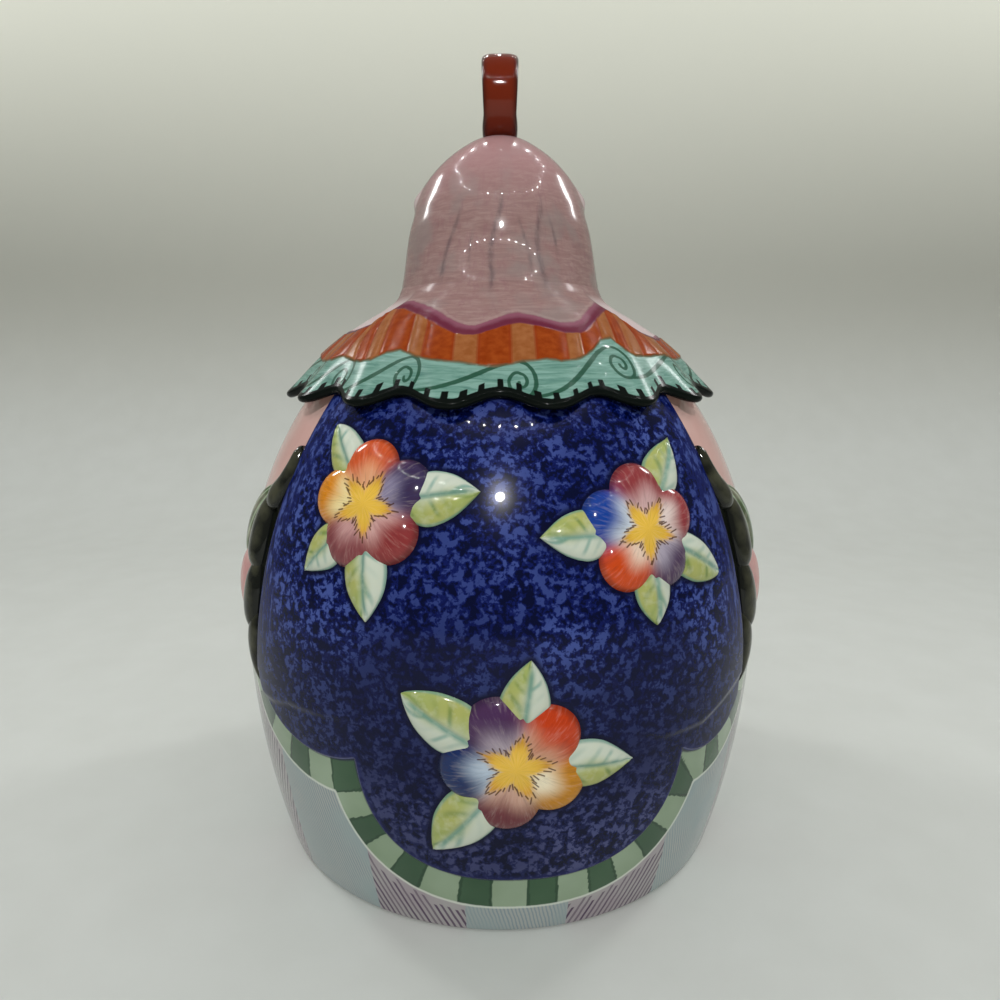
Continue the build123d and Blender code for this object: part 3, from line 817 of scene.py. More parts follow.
class JAR_OT_body(Operator):
    """Makes the cast jar with its band of checks, hatched panels and hollow"""
    bl_idname = "jar.body"
    bl_label = "Jar body"

    def execute(self, context):
        s = in_mm(context.scene.jar_sizes)
        columns = 720
        half = columns // 2
        # the section: under the foot, round the heel, up the wall, over the lip, and down inside to the floor
        wall = np.linspace(3, s.rim_height - 2.4, 156)
        reach = wall_radius(s, wall)
        lean = math.asin((HEEL - s.belly_height) / (s.flank_arc - HEEL))
        heel = s.belly_radius - s.flank_arc + (s.flank_arc - HEEL) * math.cos(lean)
        turn = np.radians(np.linspace(-90, math.degrees(lean), 8))
        foot = np.stack([heel + HEEL * np.cos(turn), HEEL + HEEL * np.sin(turn)], -1)
        lean = math.asin((s.rim_height - LIP - s.belly_height) / (s.shoulder_arc - LIP))
        lip = s.belly_radius - s.shoulder_arc + (s.shoulder_arc - LIP) * math.cos(lean)
        turn = np.linspace(lean, math.pi / 2, 7)
        rim = np.stack([lip + LIP * np.cos(turn), s.rim_height - LIP + LIP * np.sin(turn)], -1)
        mouth = float(wall_radius(s, s.rim_height, -s.wall))
        turn = np.linspace(math.pi / 2, math.pi, 5)
        inner_rim = np.stack([mouth + 1 + np.cos(turn), s.rim_height - 1 + np.sin(turn)], -1)
        low = s.floor + BOWL
        down = np.linspace(s.rim_height - 2, low + 1, 40)
        inner = np.stack([wall_radius(s, down, -s.wall), down], -1)
        sweep = np.radians(np.linspace(-12, -90, 10))
        elbow = wall_radius(s, low, -s.wall) - BOWL
        bowl = np.stack([elbow + BOWL * np.cos(sweep), low + BOWL * np.sin(sweep)], -1)
        ring = float(wall_radius(s, 0.0)) - FOOT_RING
        under = np.array([(1, RECESS), (40, RECESS), (ring - 0.8, RECESS), (ring, RECESS - 0.6), (ring, 0.6),
                          (ring + 0.6, 0), (heel - 1, 0)])
        centre = np.array([(elbow * 0.6, s.floor), (elbow * 0.3, s.floor), (1, s.floor)])
        outside = np.stack([reach, wall], -1)
        profile = np.concatenate([under, foot, outside, rim, inner_rim, inner, bowl, centre])
        first, last = len(under) + len(foot), len(under) + len(foot) + len(outside)
        angle = np.arange(columns) * 360 / columns - 90.0
        grid_angle = np.broadcast_to(angle, (len(profile), columns))
        turn = np.radians(grid_angle)
        places = np.stack([profile[:, :1] * np.sin(turn), -profile[:, :1] * np.cos(turn),
                           np.broadcast_to(profile[:, 1:], turn.shape)], -1)
        # paint, worked out on the front half and repeated on the back
        line = slab_outline(s, 0.5)
        line_places = on_wall(s, line[:, 0], line[:, 1])
        a, z = np.broadcast_to(angle[:half], (len(wall), half)), np.broadcast_to(wall[:, None], (len(wall), half))
        own = on_wall(s, a, z).reshape(-1, 3)
        gap, _ = nearest(own, line_places)
        gap = np.where(in_slab(s, a, z).ravel(), -gap, gap).reshape(a.shape)
        # the middle of the band of checks runs half its width below the slab's outline, smoothed past the corners
        band = line[(line[:, 1] < 100)]
        band = band[np.concatenate([[True], np.diff(band[:, 0]) > -8])]
        flat = np.stack([np.radians(band[:, 0]) * UNROLLED, band[:, 1]], -1)
        way = np.gradient(flat, axis=0)
        way /= np.sqrt((way**2).sum(1))[:, None]
        middle = flat + np.stack([way[:, 1], -way[:, 0]], -1) * BAND_WIDTH / 2
        clear, _ = nearest(middle, flat)
        middle = middle[clear > BAND_WIDTH / 2 - 0.15]
        soft = np.ones(25) / 25
        padded = np.pad(middle, ((12, 12), (0, 0)), mode="edge")
        middle = np.stack([np.convolve(padded[:, k], soft, mode="valid") for k in (0, 1)], -1)
        # along it the dark squares lie at even counts, and go on at the same pace past both ends
        length_at = travel(middle)
        marks = np.array([(math.radians(p) * UNROLLED, q) for p, q in DARK_CHECKS])
        _, which = nearest(marks, middle)
        marks = length_at[which]
        ends = np.concatenate([[marks[0] - 300], marks, [marks[-1] + 300]])
        count = np.concatenate([[-26], 2 * np.arange(len(marks)), [2 * len(marks) - 2 + 26]]) + 40
        _, which = nearest(np.stack([np.radians(a).ravel() * UNROLLED, z.ravel()], -1), middle)
        check = np.interp(length_at[which], ends, count).reshape(a.shape)
        # the sides above the panels: green, then pink, each to a line drawn by a free hand
        sway = 2.2 * np.sin(np.radians(a) * 7) + 1.1 * np.sin(np.radians(a) * 23 + 1)
        pink = smooth(z + sway, 112, 116.5) * smooth(np.abs(a), 45, 48)
        side = smooth(z + 0.5 * sway, 67, 70) * smooth(np.abs(a), 45, 48)
        banded = 1 - smooth(z, 74, 80) * (np.abs(a) > 40)
        strip = smooth(np.abs(a), 45, 47) * (1 - smooth(np.abs(a), 58, 60))
        strip = strip * smooth(z, 76, 80) * (1 - smooth(z, 140, 146))
        fields = {}
        for label, values, rest in (("slab_gap", gap, 60.0), ("check", check, 0.0), ("pink", pink, 0.0),
                                    ("side", side, 1.0), ("banded", banded, 0.0), ("strip", strip, 0.0)):
            full = np.full(places.shape[:2], rest)
            full[first:last] = np.concatenate([values, values], 1)
            full[last:] = full[last - 1]
            full[:first] = full[first]
            fields[label] = full
        # the panels, and the two ways of hatching them, counted in strokes (400 more, so that none is negative)
        wide = np.interp(grid_angle, PANEL_EDGES, np.arange(len(PANEL_EDGES)) + 11.0)
        fields["panel"] = wide
        own = np.floor(wide)
        lean_way = np.where(own % 4 < 2, 1.0, -1.0)
        arc = np.radians(grid_angle) * HATCH_REACH
        height = places[..., 2]
        fields["stroke"] = (arc + lean_way * height * 0.45) / 2.3 + 400
        fields["hatch"] = (arc + height * 0.25) / 1.3 + 400
        fields["unpainted"] = np.zeros(places.shape[:2])
        fields["unpainted"][last + 4 :] = 1
        fields["unpainted"][: len(under) + 2] = 1
        finish = banded_ground(context.scene.glaze_colours)
        place_piece("jar_wall", [closed("jar_wall", places, fields)], finish, "jar", ["jar_body"])
        return {"FINISHED"}


def flower_lines(s):
    """The outlines of the flowers and leaves on the front, as places on the slab."""
    lines = []
    for (place, first, size, _), leaves in zip(FLOWERS, LEAVES):
        turn = np.linspace(0, 2 * math.pi, 160, endpoint=False)
        reach = petal_edge(turn, first, size)
        lines.append(step_on_wall(s, place, reach * np.cos(turn), reach * np.sin(turn)))
        for direction, tip, half, blunt, _ in leaves:
            share = np.linspace(0.15, 1, 60)
            for sign in (-1, 1):
                ahead = LEAF_ROOT + share * (tip - LEAF_ROOT)
                aside = sign * half * leaf_half(share, blunt)
                c, q = math.cos(math.radians(direction)), math.sin(math.radians(direction))
                lines.append(step_on_wall(s, place, ahead * c - aside * q, ahead * q + aside * c))
    return np.concatenate([on_wall(s, a, z, s.slab_rise) for a, z in lines])


class JAR_OT_slabs(Operator):
    """Makes the two raised blue slabs with their rounded edges and their soft step"""
    bl_idname = "jar.slabs"
    bl_label = "Blue slabs"

    def execute(self, context):
        s = in_mm(context.scene.jar_sizes)
        line = slab_outline(s, 0.8)
        centre = np.array([2.0, 105.0])
        share = 1 - (1 - np.linspace(0.01, 1, 110)) ** 1.35
        flat = centre + (line - centre) * share[:, None, None]
        a, z = flat[..., 0], flat[..., 1]
        surface = on_wall(s, a, z)
        edge = on_wall(s, line[:, 0], line[:, 1])
        depth, _ = nearest(surface.reshape(-1, 3), edge)
        depth = depth.reshape(a.shape)
        depth[-1] = 0
        round_edge = np.sqrt(1 - (1 - np.clip(depth / 1.4, 0, 1)) ** 2)
        steps = np.array(STEP_LINE, float)
        at = np.interp(a, steps[:, 0], steps[:, 1])
        strength = smooth(np.abs(a + 2), 16, 40)
        thick = strength * smooth(z - at, -1.5, 1.5) * (1 - smooth(z - at, 8, 40))
        out = (s.slab_rise - 0.1) * round_edge + 0.75 * thick * round_edge
        top = on_wall(s, a, z, out)
        inner = centre + (line - centre) * np.array([1.0, 0.97, 0.6, 0.02])[:, None, None]
        sunk = on_wall(s, inner[..., 0], inner[..., 1], -np.array([1.0, 1.4, 1.4, 1.4])[:, None])
        places = np.concatenate([top, sunk])
        relief, _ = nearest(top.reshape(-1, 3), flower_lines(s))
        rows = len(sunk)
        to_side = np.radians(slab_side(z) - np.abs(a)) * UNROLLED + 2.5 * np.sin(z / 9)
        side_brush = 0.85 * (1 - smooth(to_side, 5, 16)) * smooth(z, 84, 100)
        fields = {
            "depth": np.concatenate([depth, np.zeros((rows, len(line)))]),
            "relief_gap": np.concatenate([relief.reshape(a.shape), np.full((rows, len(line)), 20.0)]),
            "side_brush": np.concatenate([side_brush, np.zeros((rows, len(line)))]),
        }
        finish = sponged_cobalt(context.scene.glaze_colours)
        front_and_back("slab", "field", [(places, fields)], finish)
        return {"FINISHED"}


def mixed(codes, weights):
    """Colours mixed by weights that lie on the last axis."""
    paints = np.array([linear(code) for code in codes])
    return (weights / weights.sum(-1, keepdims=True)) @ paints


class JAR_OT_flowers(Operator):
    """Makes the five-petalled flowers, each a plump sprig with a golden star"""
    bl_idname = "jar.flowers"
    bl_label = "Flowers"

    def execute(self, context):
        s = in_mm(context.scene.jar_sizes)
        chance = np.random.default_rng(7)
        made = []
        for number, (place, first, size, paints) in enumerate(FLOWERS):
            turn = np.linspace(0, 2 * math.pi, 360, endpoint=False)
            share = np.concatenate([np.linspace(0.012, 0.86, 58), 1 - 0.14 * (1 - np.linspace(0, 1, 15)[1:]) ** 1.6])
            reach = petal_edge(turn, first, size)
            radius = share[:, None] * reach
            direction = np.broadcast_to(turn, radius.shape)
            right, up = radius * np.cos(direction), radius * np.sin(direction)
            # a dome for each petal, a mound under them all, and a boss in the middle with a dip round it
            spokes = np.radians(first - 72 * np.arange(5))
            off = np.stack([np.hypot(right - PETAL_RING * size * math.cos(p), up - PETAL_RING * size * math.sin(p))
                            for p in spokes], -1) / (PETAL_RADIUS * size)
            dome = np.clip(1 - off**2, 0, 1) ** 0.6
            rise = (dome**3.5).sum(-1) ** (1 / 3.5) * PETAL_RISE
            mound = 2.6 * np.sqrt(np.clip(1 - (radius / reach) ** 2.5, 0, 1))
            rise = (rise**4 + mound**4) ** 0.25
            rise += 0.8 * np.exp(-((radius / (4.0 * size)) ** 2)) - 0.6 * np.exp(-(((radius / size - 6.8) / 2.6) ** 2))
            edge = np.sqrt(1 - (1 - np.clip((1 - share[:, None]) * reach / 1.5, 0, 1)) ** 2)
            rise = np.maximum(rise, 0.2) * edge
            rise[-1] = -0.2
            a, z = step_on_wall(s, place, right, up)
            top = on_wall(s, a, z, s.slab_rise + rise)
            low = np.array([0.98, 0.6, 0.05])[:, None]
            a, z = step_on_wall(s, place, low * reach * np.cos(turn), low * reach * np.sin(turn))
            places = np.concatenate([top, on_wall(s, a, z, s.slab_rise - 1.0)])
            # paint: each petal's own colours, washed out towards the star, and painted shade darkening the outer tenth
            # of each petal, where it rolls down to the slab
            weights = np.exp(-off * 6.0)
            rims = mixed([p[0] for p in paints], weights)
            hearts = mixed([p[1] for p in paints], weights)
            own = off.argmin(-1)
            full = smooth(radius / size + 1.2 * np.sin(direction * 7 + number), 7.0, 15.5)[..., None]
            tint = hearts * (1 - full) + rims * full
            # painted shade along each petal's rolled rim
            rim_painted_shade = smooth(radius / reach, 0.9, 1.0)[..., None] * 0.35
            tint = tint * (1 - rim_painted_shade)
            # the star has an arm in each crease between two petals
            creases = spokes - math.radians(36)
            around = np.abs((direction[..., None] - creases + math.pi) % (2 * math.pi) - math.pi).min(-1)
            arm = np.clip(1 - around / math.radians(36), 0, 1) ** 1.25
            star_edge = (STAR_NECK + (STAR_ARM - STAR_NECK) * arm) * size
            star_edge = star_edge + 0.8 * size * np.sin(direction * 47) * np.sin(direction * 13 + number)
            inside = 1 - smooth(radius - star_edge, -3.0, 1.0)
            bright = 2.0 * smooth(radius, 9.5, 3) + 0.02
            gold = mixed(["#D59A2C", "#F7CE50"], np.stack([np.ones_like(radius), bright], -1))
            tint = tint * (1 - inside[..., None]) + gold * inside[..., None]
            # the short dashes of a fine brush round the star
            dash = np.full(radius.shape, 9.0)
            for k in range(STAR_DASHES):
                way = 2 * math.pi * (k + chance.uniform(-0.25, 0.25)) / STAR_DASHES
                gone = np.abs((way - creases + math.pi) % (2 * math.pi) - math.pi).min()
                arm_here = max(0.0, 1 - gone / math.radians(36)) ** 1.25
                start = (STAR_NECK + (STAR_ARM - STAR_NECK) * arm_here - 1.0) * size
                tilt = way + chance.uniform(-0.6, 0.6)
                px, py = start * math.cos(way), start * math.sin(way)
                long = chance.uniform(1.0, 2.1) * size
                ahead, aside = math.cos(tilt), math.sin(tilt)
                t = np.clip(((right - px) * ahead + (up - py) * aside) / long, 0, 1)
                dash = np.minimum(dash, np.hypot(right - px - t * long * ahead, up - py - t * long * aside))
            brush = np.stack([direction * 16 + own * 5, radius * 0.16, np.full(radius.shape, number * 9.0)], -1)
            made.append((places, {
                "tint": np.concatenate([tint, np.repeat(tint[-1:], len(low), 0)]),
                "dash": np.concatenate([dash, np.full((len(low), len(turn)), 9.0)]),
                "brush": np.concatenate([brush, np.repeat(brush[-1:], len(low), 0)]),
            }))
        front_and_back("petals", "flowers", made, brushed_petals())
        return {"FINISHED"}


class JAR_OT_leaves(Operator):
    """Makes the leaves under the flowers, each ridged along its midrib"""
    bl_idname = "jar.leaves"
    bl_label = "Leaves"

    def execute(self, context):
        s = in_mm(context.scene.jar_sizes)
        made = []
        for (place, _, _, _), leaves in zip(FLOWERS, LEAVES):
            for number, (direction, tip, half, blunt, green_side) in enumerate(leaves):
                tip_rows = 1 - 0.1 * (1 - np.linspace(0, 1, 13)[1:]) ** 1.7
                share = np.concatenate([np.linspace(0.0, 0.9, 70), tip_rows])[:, None]
                across = np.sin(np.linspace(-1, 1, 45) * math.pi / 2)[None, :]
                wide = half * np.maximum(leaf_half(share, blunt), 0.02)
                saw = 1 + 0.012 * np.sin(share * 17 + number) * np.abs(across) ** 3
                ahead = LEAF_ROOT + share * (tip - LEAF_ROOT) + 0 * across
                aside = across * wide * saw
                c, q = math.cos(math.radians(direction)), math.sin(math.radians(direction))
                body = 1 - np.abs(across) ** 2.2
                turn = share * 5.4 - np.abs(across) * 1.2 + 0.3 * np.sin(share * 8 + number * 2.3)
                turn = turn + 0.25 * (across > 0) + 0.2
                vein = np.abs((turn % 1.0) - 0.5) * 2
                much = 0.55 + 0.45 * np.sin(np.floor(turn) * 2.7 + number * 1.9 + 1.4 * (across > 0))
                rise = LEAF_RISE * (0.30 + 0.70 * body) * np.sqrt(np.clip(wide / half, 0.04, 1))
                rise = rise + 0.12 * (vein - 0.5) * body - 0.5 * np.exp(-((across * wide / 0.7) ** 2)) * (share < 0.93)
                edge = np.sqrt(1 - np.abs(across) ** 10)
                rise = rise * edge
                a, z = step_on_wall(s, place, ahead * c - aside * q, ahead * q + aside * c)
                top = on_wall(s, a, z, s.slab_rise + rise)
                back = across[:, ::-1][:, 4:-4:4]
                a, z = step_on_wall(s, place, ahead[:, :1] * c - back * wide * q, ahead[:, :1] * q + back * wide * c)
                low = on_wall(s, a, z, s.slab_rise - 1.0)
                places = np.concatenate([top, low], 1)
                left = across * green_side
                green = smooth(left + 0.15 * np.sin(share * 9 + number), -0.45, 0.5)
                cream = np.stack([green, 1 - green], -1)
                tint = mixed(["#A3B068", "#CDD5C4"], cream)
                yellow = (smooth(share, 0.2, 0.5) * (1 - smooth(share, 0.5, 0.9)) * green * 0.4)[..., None]
                tint = tint * (1 - yellow) + np.array(linear("#BDB463")) * yellow
                bars = (much * smooth(vein, 0.62, 0.05) * smooth(np.abs(across), 0.02, 0.25)
                        * (1 - smooth(np.abs(across), 0.55, 0.9)))[..., None]
                veined = mixed(["#5E7C3A", "#62988C"], cream)
                tint = tint * (1 - 0.72 * bars) + veined * 0.72 * bars
                rib = np.exp(-((across * wide + green_side * 0.5) / 0.85) ** 2) * (1 - smooth(share, 0.8, 1.0))
                rib = rib[..., None]
                tint = tint * (1 - 0.8 * rib) + np.array(linear("#568C82")) * 0.8 * rib
                rim = smooth(np.abs(across), 0.86, 0.97)[..., None] * 0.7
                tint = tint * (1 - rim) + np.array(linear("#659A8C")) * rim
                tint = np.concatenate([tint, np.repeat(tint[:, -1:], back.shape[1], 1)], 1)
                made.append((places, {"tint": tint}))
        front_and_back("blades", "leaves", made, brushed_leaves())
        return {"FINISHED"}


def lobe(s, points, side, back, rows=60):
    """A plump relief lobe along a line of wall places, each with a half width and a rise: its grid of places,
    how far along and how far across each lies, and how high on the crown."""
    line = along(points, rows)
    a, z, half, rise = [line[:, k] for k in range(4)]
    share = np.linspace(0, 1, rows)
    swell = np.sqrt(np.clip(1 - np.abs(2 * share - 1) ** 6, 0, 1))
    half, rise = np.maximum(half * swell, 0.05), rise * swell
    if side < 0:
        a = -a
    if back:
        a = (180.0 - a)
    reach = wall_radius(s, z)
    round_jar, up = np.radians(a) * reach, z
    way = np.stack([np.gradient(round_jar), np.gradient(up)], -1)
    way /= np.sqrt((way**2).sum(1))[:, None]
    turn = np.linspace(0, math.pi, 25)
    across = -np.cos(turn)
    dome = np.sin(turn) ** 0.8
    shift = across[None, :] * half[:, None]
    a_grid = a[:, None] + np.degrees(-way[:, 1:] * shift / reach[:, None])
    z_grid = z[:, None] + way[:, :1] * shift
    top = on_wall(s, a_grid, z_grid, -0.4 + dome * (rise[:, None] + 0.4))
    under = on_wall(s, a_grid[:, 22:2:-5], z_grid[:, 22:2:-5], -1.2)
    places = np.concatenate([top, under], 1)
    pad = under.shape[1]
    crown = np.pad(np.broadcast_to(dome, shift.shape), ((0, 0), (0, pad)))
    wide = np.pad(np.broadcast_to(across, shift.shape), ((0, 0), (0, pad)))
    ahead = np.broadcast_to(share[:, None], crown.shape)
    return places, ahead, wide, crown


class JAR_OT_garlands(Operator):
    """Makes the garlands down the jar's sides: dark lobes, a striped leaf and pink petals"""
    bl_idname = "jar.garlands"
    bl_label = "Garlands"

    def execute(self, context):
        s = in_mm(context.scene.jar_sizes)
        dark, tinted = dark_lobes(), tinted_relief()
        for name, side, node in (("left", -1, "garland_left"), ("right", 1, "garland_right")):
            lobes, soft = [], []
            for back in (False, True):
                own = -side if back else side
                for points in GARLAND:
                    places, _, _, crown = lobe(s, points, own, back)
                    lobes.append(closed("lobes", places, {"crown": crown}))
                places, ahead, wide, _ = lobe(s, STRIPED_LEAF, own, back)
                stripe = smooth(np.abs(((wide * 1.6 + ahead * 0.5) % 1.0) - 0.5), 0.34, 0.44)
                tint = mixed(["#4A5A3A", "#A9BFA0"], np.stack([1 - stripe, stripe + 0.001], -1))
                soft.append(closed("leaf", places, {"tint": tint}))
                places, _, _, crown = lobe(s, PINK_PETAL, own, back)
                tint = mixed(["#B97F80", "#D0A09C"], np.stack([1.01 - crown, crown + 0.01], -1))
                soft.append(closed("petal", places, {"tint": tint}))
            place_piece("garland_lobes_" + name, lobes, dark, "jar", [node])
            place_piece("garland_petals_" + name, soft, tinted, "jar")
        return {"FINISHED"}


def painted_edge(table, angle):
    """A painted line's distance from the axis, repeated on the back half a turn round."""
    table = np.array(table, float)
    return np.interp((angle + 90) % 180 - 90, table[:, 0], table[:, 1])


def hood_paint(places, angle, reach):
    """Attributes that the hood and the skirt share: brush strokes, smudges, a painted highlight on the skirt's top
    beyond the hood's corners and on each knob, and a crown that is rosier and lighter, partly its own tone and partly
    painted light."""
    half = (angle + 90) % 180 - 90
    height = places[..., 2]
    smudge = np.zeros(angle.shape)
    for middle, bend, width, foot, top in SMUDGES:
        line = middle + bend * (height - 228) / 8 + 1.5 * np.sin(height / 5 + middle)
        fade = smooth(height, foot, foot + 8) * (1 - smooth(height, top - 10, top))
        smudge = np.maximum(smudge, np.exp(-(((half - line) / width) ** 2)) * fade)
    # painted highlight: the skirt's top beyond the hood's corners, and each knob
    painted_side_highlight = smooth(np.abs(half), 46.5, 48.5) * (1 - smooth(height, 206, 212)) * 0.9
    side = ((np.abs(angle) - KNOB[0]) / 16) ** 2 + ((height - KNOB[1]) / 6) ** 2
    painted_side_highlight = np.maximum(painted_side_highlight, 0.75 * (1 - smooth(side, 0.6, 1.3)))
    brush = np.stack([np.radians(angle) * 40, height + 0 * reach, reach * 0.5], -1)
    return {"smudge": smudge, "painted_side_highlight": painted_side_highlight, "crown": smooth(height, 236, 266), "brush": brush}


class JAR_OT_hood(Operator):
    """Makes the bell-shaped hood with its thin wall and the low knob on each side"""
    bl_idname = "jar.hood"
    bl_label = "Hood"

    def execute(self, context):
        lid = in_mm(context.scene.lid_sizes)
        outer = along(HOOD, 120)[::-1]
        slope = np.gradient(outer, axis=0)
        slope /= np.sqrt((slope**2).sum(1))[:, None]
        inner = (outer + np.stack([slope[:, 1], -slope[:, 0]], -1) * lid.hood_wall)[::-1]
        inner = inner[inner[:, 0] > 1.5]
        inner[0] = (outer[-1][0] - lid.hood_wall, outer[-1][1])
        profile = np.concatenate([outer, inner])
        angle = np.broadcast_to(np.arange(480) * 0.75 - 180, (len(profile), 480))
        turn = np.radians(angle)
        height = profile[:, 1:] + 0 * turn
        sag = 1 + 0.006 * np.sin(3 * turn + height * 0.05) * smooth(height, 216, 235) * (1 - smooth(height, 255, 268))
        knob = 2.6 * np.exp(-(((np.abs(angle) - KNOB[0]) / 13) ** 2) - ((height - KNOB[1]) / 4.5) ** 2)
        knob[len(outer) :] = 0
        reach = profile[:, :1] * sag + knob + fuller(turn, height)
        places = np.stack([reach * np.sin(turn), -reach * np.cos(turn), height], -1)
        finish = brushed_mauve(context.scene.glaze_colours)[0]
        mesh = closed("hood_shell", places, hood_paint(places, angle, reach))
        place_piece("hood_shell", [mesh], finish, "lid", ["hood"])
        return {"FINISHED"}


def fuller(angle, height):
    """How far the hood's front and back stand out beyond its round, from the border up to its middle."""
    off = np.abs((np.degrees(angle) + 90) % 180 - 90)
    return 5.4 * smooth(height, 197, 210) * (1 - smooth(height, 209, 234)) * (1 - smooth(off, 14, 60))


def skirt_surface(turn, way):
    """Places on the skirt's outer face: turn round the jar in radians, and way from the hem (0) to the hood (1)."""
    settings = bpy.context.scene.lid_sizes
    table = along(SKIRT, LINE_POINTS)
    radius, height, corner, flute = [np.interp(way, np.linspace(0, 1, LINE_POINTS), table[:, k]) for k in range(4)]
    share = (SKIRT[0][0] - radius) / (SKIRT[0][0] - SKIRT[-1][0])
    angle = turn + settings.gather * share * np.sin(4 * turn)
    fold = np.abs(np.degrees(angle) % 90 - 45)
    ridge = 0.3 * corner * np.exp(-((fold / 5) ** 2))
    reach = radius + corner * (1 - np.cos(4 * angle)) / 2 + ridge - flute * np.cos(settings.flutes * turn)
    return angle, reach + fuller(angle, height), height


def scroll_line():
    """The scroll as one brush line on the unrolled band: distance round the jar, slope length from the hem, and
    half of the stroke's width. Each S sweeps up over the next curl and rolls in on itself."""
    table = along(SKIRT, LINE_POINTS)
    slope = travel(table[:, :2])
    curls = [(math.radians(a + shift) * BAND_REACH, np.interp(-r, -table[:, 0], slope))
             for shift in (-180, 0, 180) for a, r in CURLS]
    wide, tall = 4.3, 6.8
    roll = np.linspace(0, 3.4, 150)
    reach = np.interp(roll, (0, 0.5, 1, 1.5, 2, 2.5, 3, 3.4), (1.15, 1.03, 0.88, 0.92, 0.42, 0.38, 0.34, 0.2))
    way = math.pi / 2 - roll * math.pi
    t = np.linspace(0, 1, 110)[:, None]
    strokes = []
    for (u0, v0), (u1, v1) in zip(curls, curls[1:]):
        gap = u1 - u0
        start, end = np.array([u0 + 0.2 * wide, v0 - 0.88 * tall]), np.array([u1, v1 + 1.15 * tall])
        first, second = start + (0.45 * gap, -0.5), end - (0.28 * gap, 0)
        sweep = (1 - t) ** 3 * start + 3 * t * (1 - t) ** 2 * first + 3 * t**2 * (1 - t) * second + t**3 * end
        strokes.append(np.hstack([sweep, 0.42 + 0.42 * np.sin(math.pi * t)]))
        curl = np.stack([u1 + wide * reach * np.cos(way), v1 + tall * reach * np.sin(way), 0.62 - 0.05 * roll], -1)
        strokes.append(curl)
    strokes = np.concatenate(strokes)
    return strokes[np.abs(strokes[:, 0]) < BAND_REACH * math.pi + 6]


